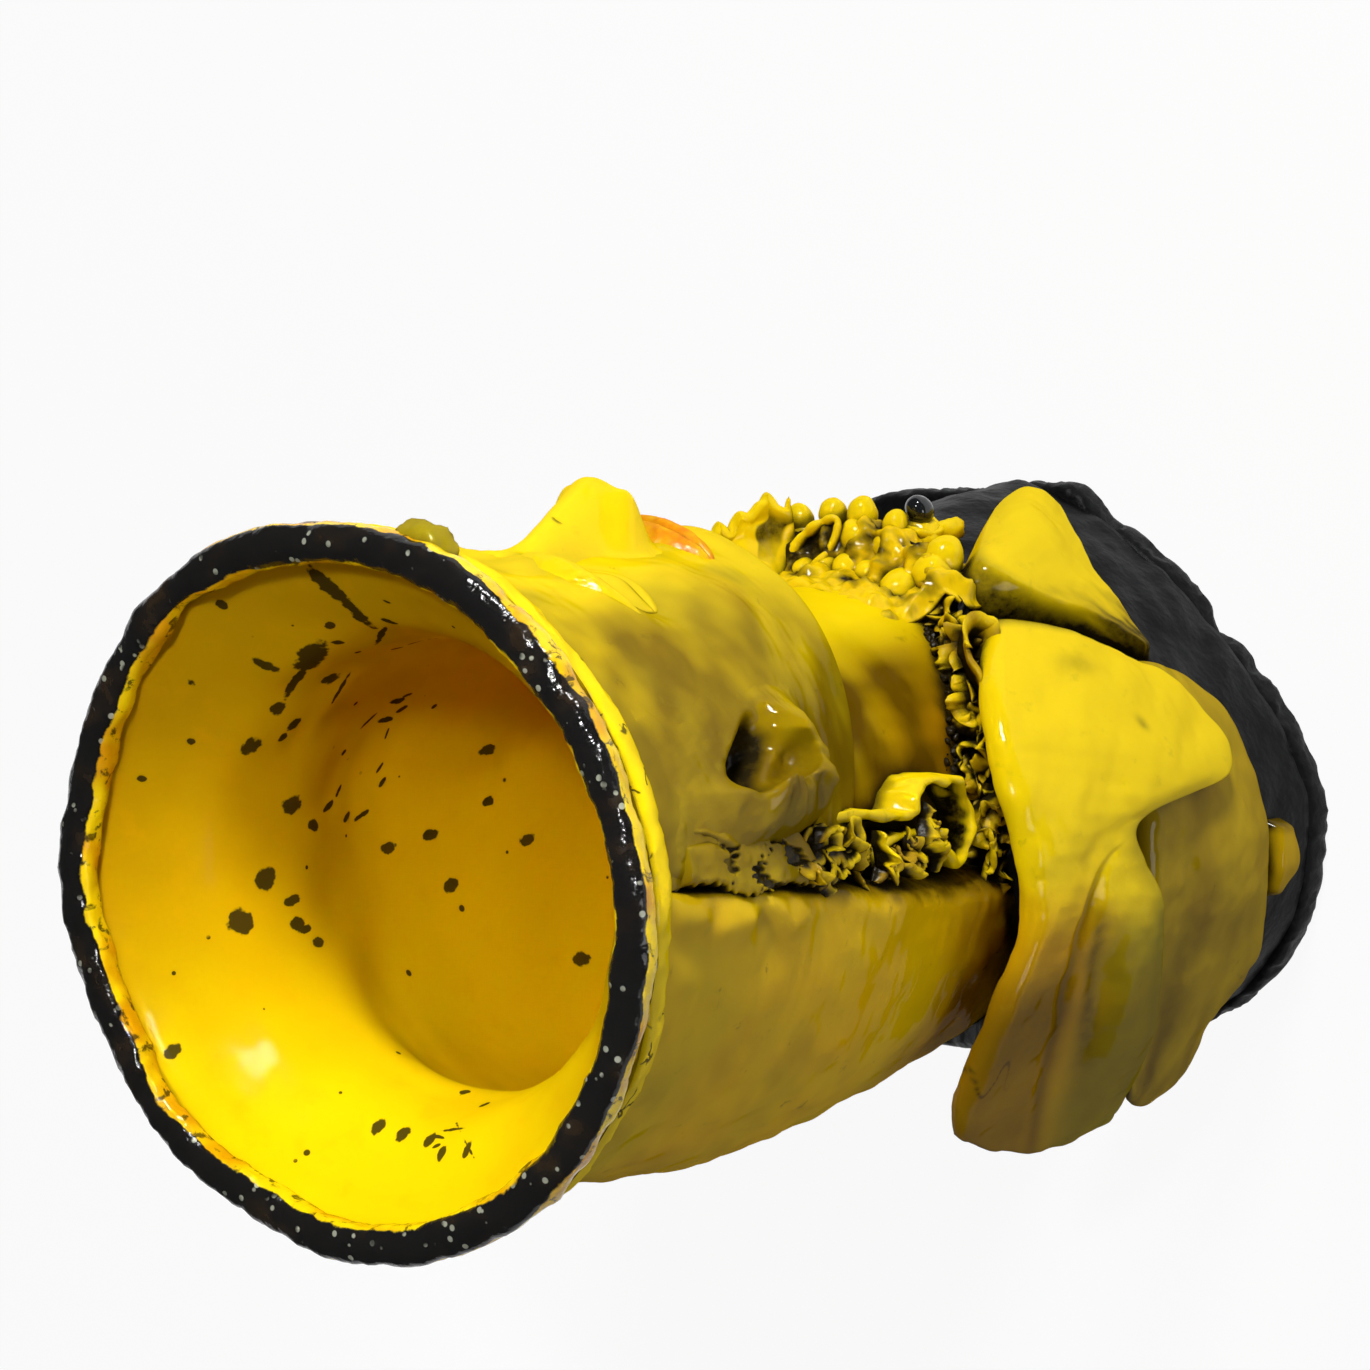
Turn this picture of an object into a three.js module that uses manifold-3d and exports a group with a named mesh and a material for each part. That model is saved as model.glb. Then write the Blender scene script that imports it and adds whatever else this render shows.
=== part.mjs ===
// A hand-built head vase in glazed clay. Millimetres, +Z up, the face looks towards -Y and +X is the
// sitter's left. The origin is the middle of the resting face. Angles run round the vase from the front.
import * as THREE from 'three';
import { mergeVertices } from 'three/addons/utils/BufferGeometryUtils.js';
import Module from 'manifold-3d';

const wasm = await Module();
wasm.setup();
const rad = THREE.MathUtils.degToRad;

// Whole vase
const height = 340;
const joinGap = 0.3;
const turnSteps = 36;

// Mouth: a rolled coil on the lip, a band of clay under it and the throat inside
const mouthRadius = 90;
const rimCoilWidth = 9.6;
const rimCoilHeight = 9;
const throatRadius = 61;
const throatDepth = 32;
const boreRadius = 56;
const lipWall = 7;
const bandHeight = 12;
const bandReach = 3.4;

// Vessel body
const wall = 8;
const floorThickness = 9;
const footHalfWidth = 56;
const neckRadius = 53;
const napeDepth = 82;
const skullHalfWidth = 66;
const skullFront = 62;
const skullBack = 84;
const collarHeight = 104;
const neckTopHeight = 152;
const skullDepth = 58;

// Slabs over the head
const slabTopRise = 6;
const hoodThickness = 10;
const hoodBottomHeight = 70;
const maskHalfWidth = 75;
const maskFront = 73;
const creaseGap = 0.8;

// Face, set out by thirds between the hairline and the chin
const chinHeight = 182;
const jawRise = 32;
const hairlineRise = 10;
const eyeSpacing = 52;
const eyeWidth = 27;
const noseWidth = 27;
const noseReach = 19;
const mouthWidth = 46;
const lipFullness = 5;
const earReach = 11;
const earWidth = 27;

// Bust and base
const baseThickness = 12;
const baseHalfWidth = 100;
const baseFront = 74;
const baseBack = 100;
const bustSetback = 1.5;
const mantleWall = 11;
const shoulderHalfWidth = 86;
const mantleFrontHeight = 104;
const mantleSideHeight = 138;
const mantleBackHeight = 76;

// Laid slabs and small pieces
const drapeThickness = 8;
const ribbonThickness = 3.2;
const ribbonHeight = 13;
const pegRadius = 5.6;
const beadRadius = 7;
const scrollRadius = 13;
const leafLength = 22;
const seamStripWidth = 13;
const pelletLength = 15;

const lipHeight = height - rimCoilHeight;
const throatHeight = height - throatDepth;
const skullHeight = throatHeight - skullDepth;
const slabTopHeight = throatHeight + slabTopRise;
const hairlineHeight = throatHeight + hairlineRise;
const bandBottom = slabTopHeight + creaseGap;
const bandTop = bandBottom + bandHeight;
const vesselBottom = baseThickness + joinGap;
const floorHeight = vesselBottom + floorThickness;
const third = (hairlineHeight - chinHeight) / 3;
const browHeight = hairlineHeight - third;
const noseHeight = browHeight - third;
const eyeHeight = browHeight - third / 4;
const mouthHeight = noseHeight - third / 3;
const hipHeight = mix(vesselBottom, collarHeight, 0.3);
const waistHeight = mix(vesselBottom, collarHeight, 0.63);

// Numbers and curves

function steps(from, to, count) {
  return Array.from({ length: count + 1 }, (_, i) => from + ((to - from) * i) / count);
}

function mix(a, b, share) {
  return a + (b - a) * share;
}

function rise(from, to, value) {
  return THREE.MathUtils.smoothstep(value, from, to);
}

function swell(distance, width) {
  return Math.exp(-((distance / width) ** 2));
}

// A smooth curve through [position, value] stations, level beyond its ends
function through(stations) {
  const last = stations.length - 1;
  const slopes = stations.map((station, i) => {
    const before = stations[Math.max(i - 1, 0)];
    const after = stations[Math.min(i + 1, last)];
    return (after[1] - before[1]) / (after[0] - before[0]);
  });
  return (position) => {
    if (position <= stations[0][0]) return stations[0][1];
    if (position >= stations[last][0]) return stations[last][1];
    const i = stations.findIndex((station) => position < station[0]) - 1;
    const span = stations[i + 1][0] - stations[i][0];
    const t = (position - stations[i][0]) / span;
    const ends = mix(stations[i][1], stations[i + 1][1], t * t * (3 - 2 * t));
    return ends + span * t * (1 - t) * ((1 - t) * slopes[i] - t * slopes[i + 1]);
  };
}

// Distance from the middle of an oval to its outline, in a direction turned from the front
function oval(angle, halfWidth, front, back, frontPower = 2, backPower = 2) {
  const facing = Math.cos(angle) > 0;
  const power = facing ? frontPower : backPower;
  const across = Math.abs(Math.sin(angle)) / halfWidth;
  const along = Math.abs(Math.cos(angle)) / (facing ? front : back);
  return (across ** power + along ** power) ** (-1 / power);
}

function ringOf(radius) {
  return { centre: () => 0, radius: () => radius };
}

// A point on one of the upright surfaces, lifted off it
function place(surface, angle, h, lift = 0) {
  const reach = surface.radius(angle, h) + lift;
  return new THREE.Vector3(reach * Math.sin(angle), surface.centre(h) - reach * Math.cos(angle), h);
}

// Solids from quads, and cuts between solids

function closedGeometry(quads) {
  const corners = [];
  let volume = 0;
  for (const [a, b, c, d] of quads) {
    for (const [p, q, r] of [[a, b, c], [a, c, d]]) {
      if (p.equals(q) || q.equals(r) || r.equals(p)) continue;
      corners.push([p, q, r]);
      volume += p.dot(new THREE.Vector3().crossVectors(q, r));
    }
  }
  const points = corners.flatMap(([p, q, r]) => (volume > 0 ? [p, q, r] : [p, r, q]));
  const geometry = new THREE.BufferGeometry().setFromPoints(points);
  return mergeVertices(geometry, 1e-4);
}

function solidFrom(geometry) {
  const vertProperties = new Float32Array(geometry.attributes.position.array);
  const triVerts = new Uint32Array(geometry.index.array);
  return new wasm.Manifold(new wasm.Mesh({ numProp: 3, vertProperties, triVerts }));
}

function geometryFrom(solid) {
  const mesh = solid.getMesh();
  const geometry = new THREE.BufferGeometry();
  geometry.setAttribute('position', new THREE.BufferAttribute(mesh.vertProperties, 3));
  geometry.setIndex(new THREE.BufferAttribute(mesh.triVerts, 1));
  return geometry;
}

// The piece with its neighbours cut away. What lies loose behind a neighbour is left out.
function seated(geometry, ...neighbours) {
  let solid = solidFrom(geometry);
  for (const neighbour of neighbours) solid = solid.subtract(neighbour);
  const bodies = solid.decompose().sort((a, b) => b.volume() - a.volume());
  return geometryFrom(bodies[0]);
}

// A body turned round the upright axis, its section worked out for each direction
function turned(sectionAt, onAxis = false, segments = turnSteps) {
  const sections = steps(0, 2 * Math.PI, segments).slice(0, segments).map(sectionAt);
  const quads = [];
  sections.forEach((section, i) => {
    const next = sections[(i + 1) % segments];
    const count = onAxis ? section.length - 1 : section.length;
    for (let j = 0; j < count; j += 1) {
      const k = (j + 1) % section.length;
      quads.push([section[j], next[j], next[k], section[k]]);
    }
  });
  return closedGeometry(quads);
}

// A slab between two faces over the same (u, v) square, with its edge rounded outwards
function slab(outerFace, innerFace, columns, rows, roundness = 0) {
  const grid = (face) => steps(0, 1, rows).map((v) => steps(0, 1, columns).map((u) => face(u, v)));
  const outer = grid(outerFace);
  const inner = grid(innerFace);
  const quads = [];
  for (let r = 0; r < rows; r += 1) {
    for (let c = 0; c < columns; c += 1) {
      quads.push([outer[r][c], outer[r][c + 1], outer[r + 1][c + 1], outer[r + 1][c]]);
      quads.push([inner[r][c], inner[r + 1][c], inner[r + 1][c + 1], inner[r][c + 1]]);
    }
  }
  const border = [];
  for (let c = 0; c < columns; c += 1) border.push([0, c]);
  for (let r = 0; r < rows; r += 1) border.push([r, columns]);
  for (let c = columns; c > 0; c -= 1) border.push([rows, c]);
  for (let r = rows; r > 0; r -= 1) border.push([r, 0]);
  const edge = border.map(([r, c]) => {
    const top = outer[r][c];
    const bottom = inner[r][c];
    const within = outer[Math.min(Math.max(r, 1), rows - 1)][Math.min(Math.max(c, 1), columns - 1)];
    const outward = top.clone().sub(within).setLength(roundness * top.distanceTo(bottom));
    return [top, top.clone().add(bottom).multiplyScalar(0.5).add(outward), bottom];
  });
  edge.forEach(([top, middle, bottom], i) => {
    const [nextTop, nextMiddle, nextBottom] = edge[(i + 1) % edge.length];
    if (roundness === 0) {
      quads.push([nextTop, top, bottom, nextBottom]);
      return;
    }
    quads.push([nextTop, top, middle, nextMiddle]);
    quads.push([nextMiddle, middle, bottom, nextBottom]);
  });
  return closedGeometry(quads);
}

// A smooth face through rows of points
function lofted(rows) {
  const lines = rows.map((row) => new THREE.CatmullRomCurve3(row));
  return (u, v) => new THREE.CatmullRomCurve3(lines.map((line) => line.getPoint(u))).getPoint(v);
}

// A strip of clay pressed onto a surface: line(v) gives its angle and height, and it has its own
// half-width and rise along the line
function pressed(surface, line, halfWidth, riseAt, columns, rows, { sink = 5, crown = 2, grow = 0 } = {}) {
  const girth = surface.radius(line(0.5)[0], line(0.5)[1]);
  const face = (lift) => (u, v) => {
    const [angle, h] = line(v);
    const [angleBefore, hBefore] = line(v - 0.01);
    const [angleAfter, hAfter] = line(v + 0.01);
    const along = new THREE.Vector2((angleAfter - angleBefore) * girth, hAfter - hBefore).normalize();
    const side = 2 * u - 1;
    const away = side * (halfWidth(v) + grow);
    return place(surface, angle - (along.y * away) / girth, h + along.x * away, lift(side, v));
  };
  const outer = face((side, v) => mix(-1, riseAt(v) + grow, 1 - Math.abs(side) ** crown) + grow);
  return slab(outer, face(() => -sink), columns, rows);
}

// The upright surfaces

const vesselHalfWidth = through([
  [vesselBottom, footHalfWidth], [collarHeight, neckRadius + 1], [neckTopHeight, neckRadius + 1],
  [skullHeight, skullHalfWidth], [throatHeight - 20, skullHalfWidth], [throatHeight, throatRadius + wall],
  [mix(throatHeight, lipHeight, 0.5), throatRadius + wall + 8.5], [lipHeight, mouthRadius - 2],
]);
const vesselFront = through([
  [vesselBottom, neckRadius - 2], [collarHeight, neckRadius], [neckTopHeight, neckRadius],
  [skullHeight, skullFront], [throatHeight - 20, skullFront + 1], [throatHeight, throatRadius + wall],
  [mix(throatHeight, lipHeight, 0.5), throatRadius + wall + 8.5], [lipHeight, mouthRadius - 2],
]);
const vesselBack = through([
  [vesselBottom, napeDepth - 16], [collarHeight, napeDepth - 6], [neckTopHeight, napeDepth],
  [mix(neckTopHeight, skullHeight, 0.45), skullBack], [skullHeight, skullBack - 5],
  [throatHeight - 20, skullBack - 10], [throatHeight, throatRadius + wall + 1],
  [mix(throatHeight, lipHeight, 0.5), throatRadius + wall + 8.5], [lipHeight, mouthRadius - 2],
]);
const vessel = {
  centre: () => 0,
  radius: (angle, h) => oval(angle, vesselHalfWidth(h), vesselFront(h), vesselBack(h)),
};

const throatCurve = through([
  [throatHeight - 24, boreRadius], [throatHeight, throatRadius],
  [mix(throatHeight, lipHeight, 0.5), throatRadius + 9], [lipHeight, mouthRadius - 2 - lipWall],
]);
function boreAt(angle, h) {
  const hollow = vessel.radius(angle, h) - wall;
  return mix(hollow, throatCurve(h), rise(throatHeight - 48, throatHeight - 16, h));
}

// The crease between mask and hood, as an angle from the front
const creaseAngle = through([
  [collarHeight, rad(108)], [neckTopHeight, rad(107)], [skullHeight - 20, rad(95)], [slabTopHeight, rad(85)],
]);

const hoodSide = through([
  [hoodBottomHeight, neckRadius + 17], [neckTopHeight, neckRadius + 16],
  [skullHeight - 45, skullHalfWidth + 8],
  [skullHeight, skullHalfWidth + 11], [slabTopHeight, throatRadius + wall + 10],
]);
const hoodBack = through([
  [hoodBottomHeight, napeDepth - 1], [collarHeight, napeDepth + 4],
  [neckTopHeight, napeDepth + hoodThickness],
  [mix(neckTopHeight, skullHeight, 0.45), skullBack + hoodThickness], [skullHeight, skullBack + 5],
  [throatHeight - 20, skullBack - 1], [slabTopHeight, throatRadius + wall + 12],
]);
const hood = {
  centre: () => 0,
  radius: (angle, h) => oval(angle, hoodSide(h), neckRadius, hoodBack(h), 2, 2.1),
};

const maskSide = through([
  [chinHeight, maskHalfWidth - 21], [noseHeight, maskHalfWidth - 6], [eyeHeight - 8, maskHalfWidth],
  [slabTopHeight, maskHalfWidth + 3],
]);
const maskDepth = through([
  [chinHeight, maskFront - 3], [mouthHeight, maskFront - 1], [browHeight, maskFront + 1],
  [slabTopHeight, maskFront + 4],
]);

// The relief of the face: brow, sockets, eyeballs, cheeks, mouth mound and chin
function faceRelief(angle, h) {
  const x = Math.abs(angle) * maskFront;
  const eyeX = eyeSpacing / 2;
  const socket = swell(x - eyeX, eyeWidth * 0.5) * swell(h - eyeHeight, 9);
  const eyeball = swell(x - eyeX, eyeWidth * 0.33) * swell(h - eyeHeight + 1, 6.5);
  const brow = swell(x - eyeX * 0.8, 24) * swell(h - browHeight - 3, 8);
  const cheek = swell(x - eyeX * 1.6, 17) * swell(h - noseHeight - 8, 15);
  const mound = swell(x, mouthWidth * 0.48) * swell(h - mouthHeight, 13);
  const chin = swell(x, 16) * swell(h - chinHeight - 9, 10);
  const dip = swell(x, 13) * swell(h - mix(chinHeight, mouthHeight, 0.6), 5);
  return 3 * brow - 7 * socket + 5.5 * eyeball + 3.5 * cheek + 3 * mound + 4.5 * chin - 2.5 * dip;
}
const mask = {
  centre: () => 0,
  radius: (angle, h) => oval(angle, maskSide(h), maskDepth(h), maskSide(h), 2.15) + faceRelief(angle, h),
};
function jawHeight(angle) {
  return chinHeight + jawRise * (1 - Math.cos(angle)) ** 1.2;
}

const bustCentre = through([[0, 20], [collarHeight, 14], [mantleSideHeight + 12, 8]]);
const mantleHalfWidth = through([
  [vesselBottom, baseHalfWidth - bustSetback], [hipHeight, baseHalfWidth - 6],
  [waistHeight, mix(baseHalfWidth, shoulderHalfWidth, 0.6)],
  [collarHeight, shoulderHalfWidth - 1], [mantleSideHeight - 10, shoulderHalfWidth - 11],
  [mantleSideHeight + 12, shoulderHalfWidth - 20],
]);
const mantleFront = through([
  [vesselBottom, baseFront + 18], [hipHeight, baseFront + 15], [waistHeight, baseFront + 9],
  [collarHeight, baseFront + 1], [mantleSideHeight - 10, baseFront - 6],
  [mantleSideHeight + 12, baseFront - 12],
]);
const mantleBack = through([
  [vesselBottom, baseBack - 22], [hipHeight, baseBack - 24], [waistHeight, baseBack - 27],
  [collarHeight, baseBack - 30], [mantleSideHeight - 10, baseBack - 34],
  [mantleSideHeight + 12, baseBack - 38],
]);
const frontPower = (h) => mix(1.45, 1.6, Math.min(h / collarHeight, 1));
const mantle = {
  centre: bustCentre,
  radius: (angle, h) => oval(angle, mantleHalfWidth(h), mantleFront(h), mantleBack(h), frontPower(h), 2.5),
};
const mantleTop = through([
  [rad(-50), mix(mantleFrontHeight, mantleSideHeight, 0.5)], [0, mantleFrontHeight],
  [rad(50), mix(mantleFrontHeight, mantleSideHeight, 0.5)], [rad(90), mantleSideHeight],
  [rad(125), mix(mantleSideHeight, mantleBackHeight, 0.3)], [rad(180), mantleBackHeight],
  [rad(235), mix(mantleSideHeight, mantleBackHeight, 0.3)],
]);

// Filled shapes of the upright pieces, a joint's width proud, that cut what lies on them

function aroundFront(angle) {
  return angle > Math.PI ? angle - 2 * Math.PI : angle;
}

// The outside of the vessel and of the mantle from the foot up, a given distance proud
const vesselHeights = [...steps(vesselBottom, throatHeight, 8), bandBottom, bandTop, lipHeight];
function vesselSide(turn, grow = 0) {
  return vesselHeights.map((h) => place(vessel, turn, h, grow));
}

function mantleSide(turn, grow = 0) {
  const top = mantleTop(Math.abs(turn)) + grow;
  const core = { centre: () => 0, radius: (angle, h) => vessel.radius(angle, h) - 2 };
  return [
    ...steps(vesselBottom - grow, top, 6).map((h) => place(mantle, turn, h, grow)),
    place(core, turn, top - 3),
  ];
}

function filled(sideAt) {
  return solidFrom(turned((angle) => {
    const side = sideAt(aroundFront(angle), joinGap);
    const last = side[side.length - 1];
    return [new THREE.Vector3(0, 0, side[0].z), ...side, new THREE.Vector3(0, 0, last.z)];
  }, true));
}
const vesselTool = filled(vesselSide);
const mantleTool = filled(mantleSide);

// Pieces

function vesselBody() {
  const throatHeights = steps(lipHeight, throatHeight, 3);
  const innerHeights = [...throatHeights, ...steps(throatHeight, floorHeight, 7).slice(1)];
  const bore = { centre: () => 0, radius: boreAt };
  return turned((angle) => {
    const turn = aroundFront(angle);
    return [
      new THREE.Vector3(0, 0, vesselBottom),
      ...vesselSide(turn),
      ...innerHeights.map((h) => place(bore, turn, h)),
      new THREE.Vector3(0, 0, floorHeight),
    ];
  }, true);
}

function rimCoil(grow = 0) {
  const ring = ringOf(mouthRadius - rimCoilWidth / 2);
  const corners = steps(0, 2 * Math.PI, 8).slice(0, 8);
  return turned((angle) => corners.map((corner) => {
    const squash = (Math.abs(Math.cos(corner)) ** 3 + Math.abs(Math.sin(corner)) ** 3) ** (-1 / 3);
    const across = Math.cos(corner) * squash * (rimCoilWidth / 2 + grow);
    const up = Math.sin(corner) * squash * ((rimCoilHeight - joinGap) / 2 + grow);
    return place(ring, angle, height - (rimCoilHeight - joinGap) / 2 + up, across);
  }));
}

// A band of clay round the flare, over the top edges of the mask and the hood
function lipBand(grow = 0) {
  const outer = [
    [bandBottom, throatRadius + wall + 10], [mix(bandBottom, bandTop, 0.4), mouthRadius - bandReach],
    [mix(bandBottom, bandTop, 0.8), mouthRadius - bandReach + 1], [bandTop, mouthRadius - bandReach - 1],
  ];
  return turned((angle) => [
    ...outer.map(([h, radius]) => place(ringOf(radius + grow), angle, h)),
    place(vessel, angle, bandTop, joinGap),
    place(vessel, angle, bandBottom, joinGap),
  ]);
}

function faceMask(grow = 0) {
  const under = 0.14;
  const side = rad(88);
  const outer = (u, v) => {
    const share = 2 * u - 1;
    const face = Math.max((v - under) / (1 - under), 0);
    const flat = share * side;
    const jaw = jawHeight(flat);
    const h = mix(jaw - grow, slabTopHeight + grow, face);
    const angle = share * (creaseAngle(h) - (creaseGap / 2 - grow) / maskHalfWidth);
    if (v >= under) return place(mask, angle, h, grow);
    const depth = mix(vessel.radius(angle, jaw) - 2, mask.radius(angle, jaw) + grow, v / under);
    return place(ringOf(depth), angle, jaw - grow + 3 * (1 - v / under));
  };
  const inner = (u, v) => {
    const edge = outer(u, Math.max(v, under));
    const angle = Math.atan2(edge.x, -edge.y);
    const h = edge.z + (v < under ? 3 * (1 - v / under) : 0);
    return place(ringOf(neckRadius - 9), angle, h);
  };
  return slab(outer, inner, 22, 15);
}

function backHood(grow = 0) {
  const face = (surface, lift) => (u, v) => {
    const share = 2 * u - 1;
    const low = hoodBottomHeight + 26 * Math.abs(share) ** 3;
    const h = mix(low - grow, slabTopHeight + grow, v);
    const span = Math.PI - creaseAngle(h) - (creaseGap / 2 - grow) / maskHalfWidth;
    return place(surface, Math.PI + share * span, h, lift);
  };
  return slab(face(hood, grow), face(ringOf(neckRadius - 9), 0), 18, 11);
}

function mantleBody() {
  return turned((angle) => {
    const turn = aroundFront(angle);
    const side = mantleSide(turn);
    const top = side[side.length - 1].z;
    return [
      ...side,
      place(ringOf(neckRadius - 2), turn, top - 9),
      ...steps(top - 15, vesselBottom, 2).map((h) => place(mantle, turn, h, -mantleWall)),
    ];
  });
}

// The slab under the bust, its hand-torn outline notched at a few places
const notches = [
  { angle: -11, width: 4, depth: -3 },
  { angle: -19, width: 3, depth: 1.5 },
  { angle: -51, width: 4, depth: 4.5 },
  { angle: -62, width: 3, depth: 2 },
  { angle: 38, width: 5, depth: 2 },
  { angle: 74, width: 4, depth: 3 },
];
function baseSlab() {
  const outline = {
    centre: () => bustCentre(0),
    radius: (angle) => {
      const front = baseFront + bustCentre(0);
      const back = baseBack - bustCentre(0);
      const round = oval(angle, baseHalfWidth, front, back, frontPower(0), 2.5);
      const square = oval(angle, baseHalfWidth, front - 5, back, 3.2, 2.5);
      const reach = mix(round, square, rise(rad(-8), rad(10), angle));
      const torn = notches.reduce(
        (sum, notch) => sum + notch.depth * swell(angle - rad(notch.angle), rad(notch.width)), 0);
      return reach - torn;
    },
  };
  return turned((angle) => {
    const turn = aroundFront(angle);
    return [
      new THREE.Vector3(0, bustCentre(0), 0),
      place(outline, turn, 0, -3),
      place(outline, turn, baseThickness * 0.3),
      place(outline, turn, baseThickness * 0.75),
      place(outline, turn, baseThickness, -2.5),
      new THREE.Vector3(0, bustCentre(0), baseThickness),
    ];
  }, true, turnSteps * 1.5);
}

// Drapes: rows of [angle, share of the mantle's height there, outer lift] on the mantle, the lift in slab
// thicknesses. A fourth value is the lift of the inner face, for a slab pressed down solid on the mantle.
function drape(stations, columns, rows, side = -1, grow = 0) {
  const face = (liftOf, extra) => lofted(stations.map((row) => row.map((station) => {
    const angle = side * rad(station[0]);
    const h = station[1] * mantleTop(Math.abs(angle));
    return place(mantle, angle, h, liftOf(station) * drapeThickness + extra);
  })));
  const outer = face(([, , lift]) => lift, grow);
  const inner = face(([, , lift, under = lift - 1]) => under, -grow);
  return slab(outer, inner, columns, rows, 0.35);
}

const bigDrapeRows = [
  [[41, 1, 1.62], [46, 0.89, 1.75], [53, 0.75, 1.62], [60, 0.59, 1.5]],
  [[59, 1.13, 1.88], [62, 0.93, 2.12], [65, 0.72, 2], [69, 0.51, 1.75]],
  [[78, 1.12, 2], [78, 0.92, 2.25], [79, 0.71, 2.12], [80, 0.5, 1.88]],
  [[93, 1.09, 2.12], [91, 0.99, 2.25], [89, 0.9, 2], [86, 0.8, 1.75]],
  [[108, 1.13, 2.25], [106, 1, 2], [103, 0.86, 2], [100, 0.74, 1.75]],
  [[123, 1.27, 2.62], [122, 1.06, 2], [121, 0.87, 2.38], [119, 0.7, 1.88]],
  [[139, 1.39, 3.5], [137, 1.14, 2.75], [135, 0.89, 3], [132, 0.66, 2.38]],
  [[147, 1.43, 4.5], [150, 1.21, 4.25], [149, 0.91, 4.12], [146, 0.61, 3.5]],
];
const lowerDrapeRows = [
  [[56, 0.56, 0.88, -0.25], [58, 0.5, 1, -0.25], [60, 0.43, 1, -0.25]],
  [[68, 0.74, 0.75, -0.25], [68, 0.54, 1, -0.25], [68, 0.35, 1, -0.25]],
  [[79, 0.72, 0.75, -0.25], [78, 0.51, 1, -0.25], [77, 0.3, 1, -0.25]],
  [[93, 0.71, 0.75, -0.25], [92, 0.51, 1, -0.25], [91, 0.3, 1, -0.25]],
  [[108, 0.73, 0.75, -0.25], [109, 0.51, 1.12, -0.12], [110, 0.28, 1, -0.25]],
  [[121, 0.74, 0.88, -0.25], [122, 0.53, 1.38, 0.12], [124, 0.3, 1.25, 0]],
  [[131, 0.7, 1.75], [134, 0.55, 2.25], [136, 0.39, 2.5]],
  [[137, 0.66, 2.75], [141, 0.6, 3.12], [143, 0.52, 3.12]],
];
const lapelRows = [
  [[14, 0.64, 1.2, -0.25], [14, 0.55, 1.5, -0.25], [16, 0.44, 1.1, -0.25]],
  [[20, 0.82, 1.5, -0.25], [20, 0.62, 2.3, -0.25], [21, 0.42, 1.4, -0.25]],
  [[28, 0.97, 1.4, -0.25], [28, 0.74, 2.3, -0.25], [29, 0.47, 1.3, -0.25]],
  [[35, 0.91, 1.4, -0.25], [36, 0.73, 1.8, -0.25], [38, 0.5, 1.1, -0.25]],
  [[42, 0.76, 1.1, -0.25], [44, 0.65, 1.2, -0.25], [47, 0.49, 0.8, -0.25]],
  [[55, 0.5, 0.5, -0.25], [56, 0.465, 0.7, -0.25], [57, 0.43, 0.5, -0.25]],
];
const leafRows = [
  [[90, 0.24, 0.38, -0.25], [90, 0.21, 0.5, -0.25], [90, 0.18, 0.38, -0.25]],
  [[97, 0.26, 0.62, -0.25], [97, 0.22, 0.75, -0.25], [97, 0.16, 0.5, -0.25]],
  [[104, 0.25, 0.38, -0.25], [104, 0.23, 0.5, -0.25], [104, 0.21, 0.38, -0.25]],
];
const leftDrapeRows = [
  [[62, 0.88, 1], [64, 0.73, 1], [67, 0.55, 1]],
  [[78, 1.05, 1.38], [80, 0.82, 1.75], [82, 0.54, 1.62]],
  [[95, 1.06, 1.75], [96, 0.85, 2], [97, 0.61, 1.75]],
  [[112, 1.12, 2], [113, 0.92, 2], [114, 0.71, 1.75]],
  [[128, 1.19, 2.38], [130, 0.97, 2.25], [131, 0.7, 1.88]],
  [[140, 1.23, 2.75], [142, 1, 2.5], [143, 0.72, 2]],
];

// A sheet of even thickness through rows of [angle, rise, lift] on a surface, from a foot up
function sheet(surface, foot, stations, thickness, columns, rows) {
  const face = lofted(stations.map((row) => row.map(([angle, h, lift]) => (
    place(surface, rad(angle), foot + h, lift)))));
  const reach = 0.01;
  const offset = (distance) => (u, v) => {
    const across = face(Math.min(u + reach, 1), v).sub(face(Math.max(u - reach, 0), v));
    const along = face(u, Math.min(v + reach, 1)).sub(face(u, Math.max(v - reach, 0)));
    return face(u, v).add(across.cross(along).setLength(distance));
  };
  return slab(offset(thickness / 2), offset(-thickness / 2), columns, rows, 0.3);
}

// Ruff: crinkled ribbons stood up on the collar edge of the mantle, round the foot of the neck
const ruffRibbons = [
  { name: 'ruff_ribbon_1', from: -22, to: -44, waves: 2.5, phase: 0 },
  { name: 'ruff_ribbon_2', from: -46, to: -68, waves: 2.5, phase: 1.3 },
  { name: 'ruff_ribbon_3', from: -70, to: -98, waves: 3, phase: 2.1 },
  { name: 'ruff_ribbon_4', from: 20, to: 52, waves: 3, phase: 0.6 },
  { name: 'ruff_ribbon_5', from: 55, to: 98, waves: 3.5, phase: 1.9 },
];
function ruffRibbon({ from, to, waves, phase }) {
  const face = (depth) => (u, v) => {
    const angle = rad(mix(from, to, u));
    const turn = 2 * Math.PI * waves * u + phase;
    const h = mantleTop(Math.abs(angle)) - 3 + ribbonHeight * v + 1.2 * Math.cos(turn * 1.7);
    return place(vessel, angle, h, mix(2, 6, v) + 3 * v * Math.sin(turn) + depth);
  };
  return slab(face(ribbonThickness), face(0), 12, 2);
}

// Features of the face, each a piece of clay pressed onto the mask. Places are given across the face
// from its middle line and up from the foot.
function onFace(x, h) {
  return [x / maskFront, h];
}

function nose() {
  const top = browHeight - third * 0.12;
  const line = (v) => onFace(0, mix(top, noseHeight - 3, v));
  const halfWidth = (v) => mix(noseWidth * 0.22, noseWidth * 0.48, rise(0.3, 0.95, v));
  const tip = 0.86;
  const reach = (v) => (v < tip
    ? mix(2, noseReach, (v / tip) ** 1.25)
    : mix(noseReach, 4, (v - tip) / (1 - tip)));
  return pressed(mask, line, halfWidth, reach, 8, 10, { crown: 1.7 });
}

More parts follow.
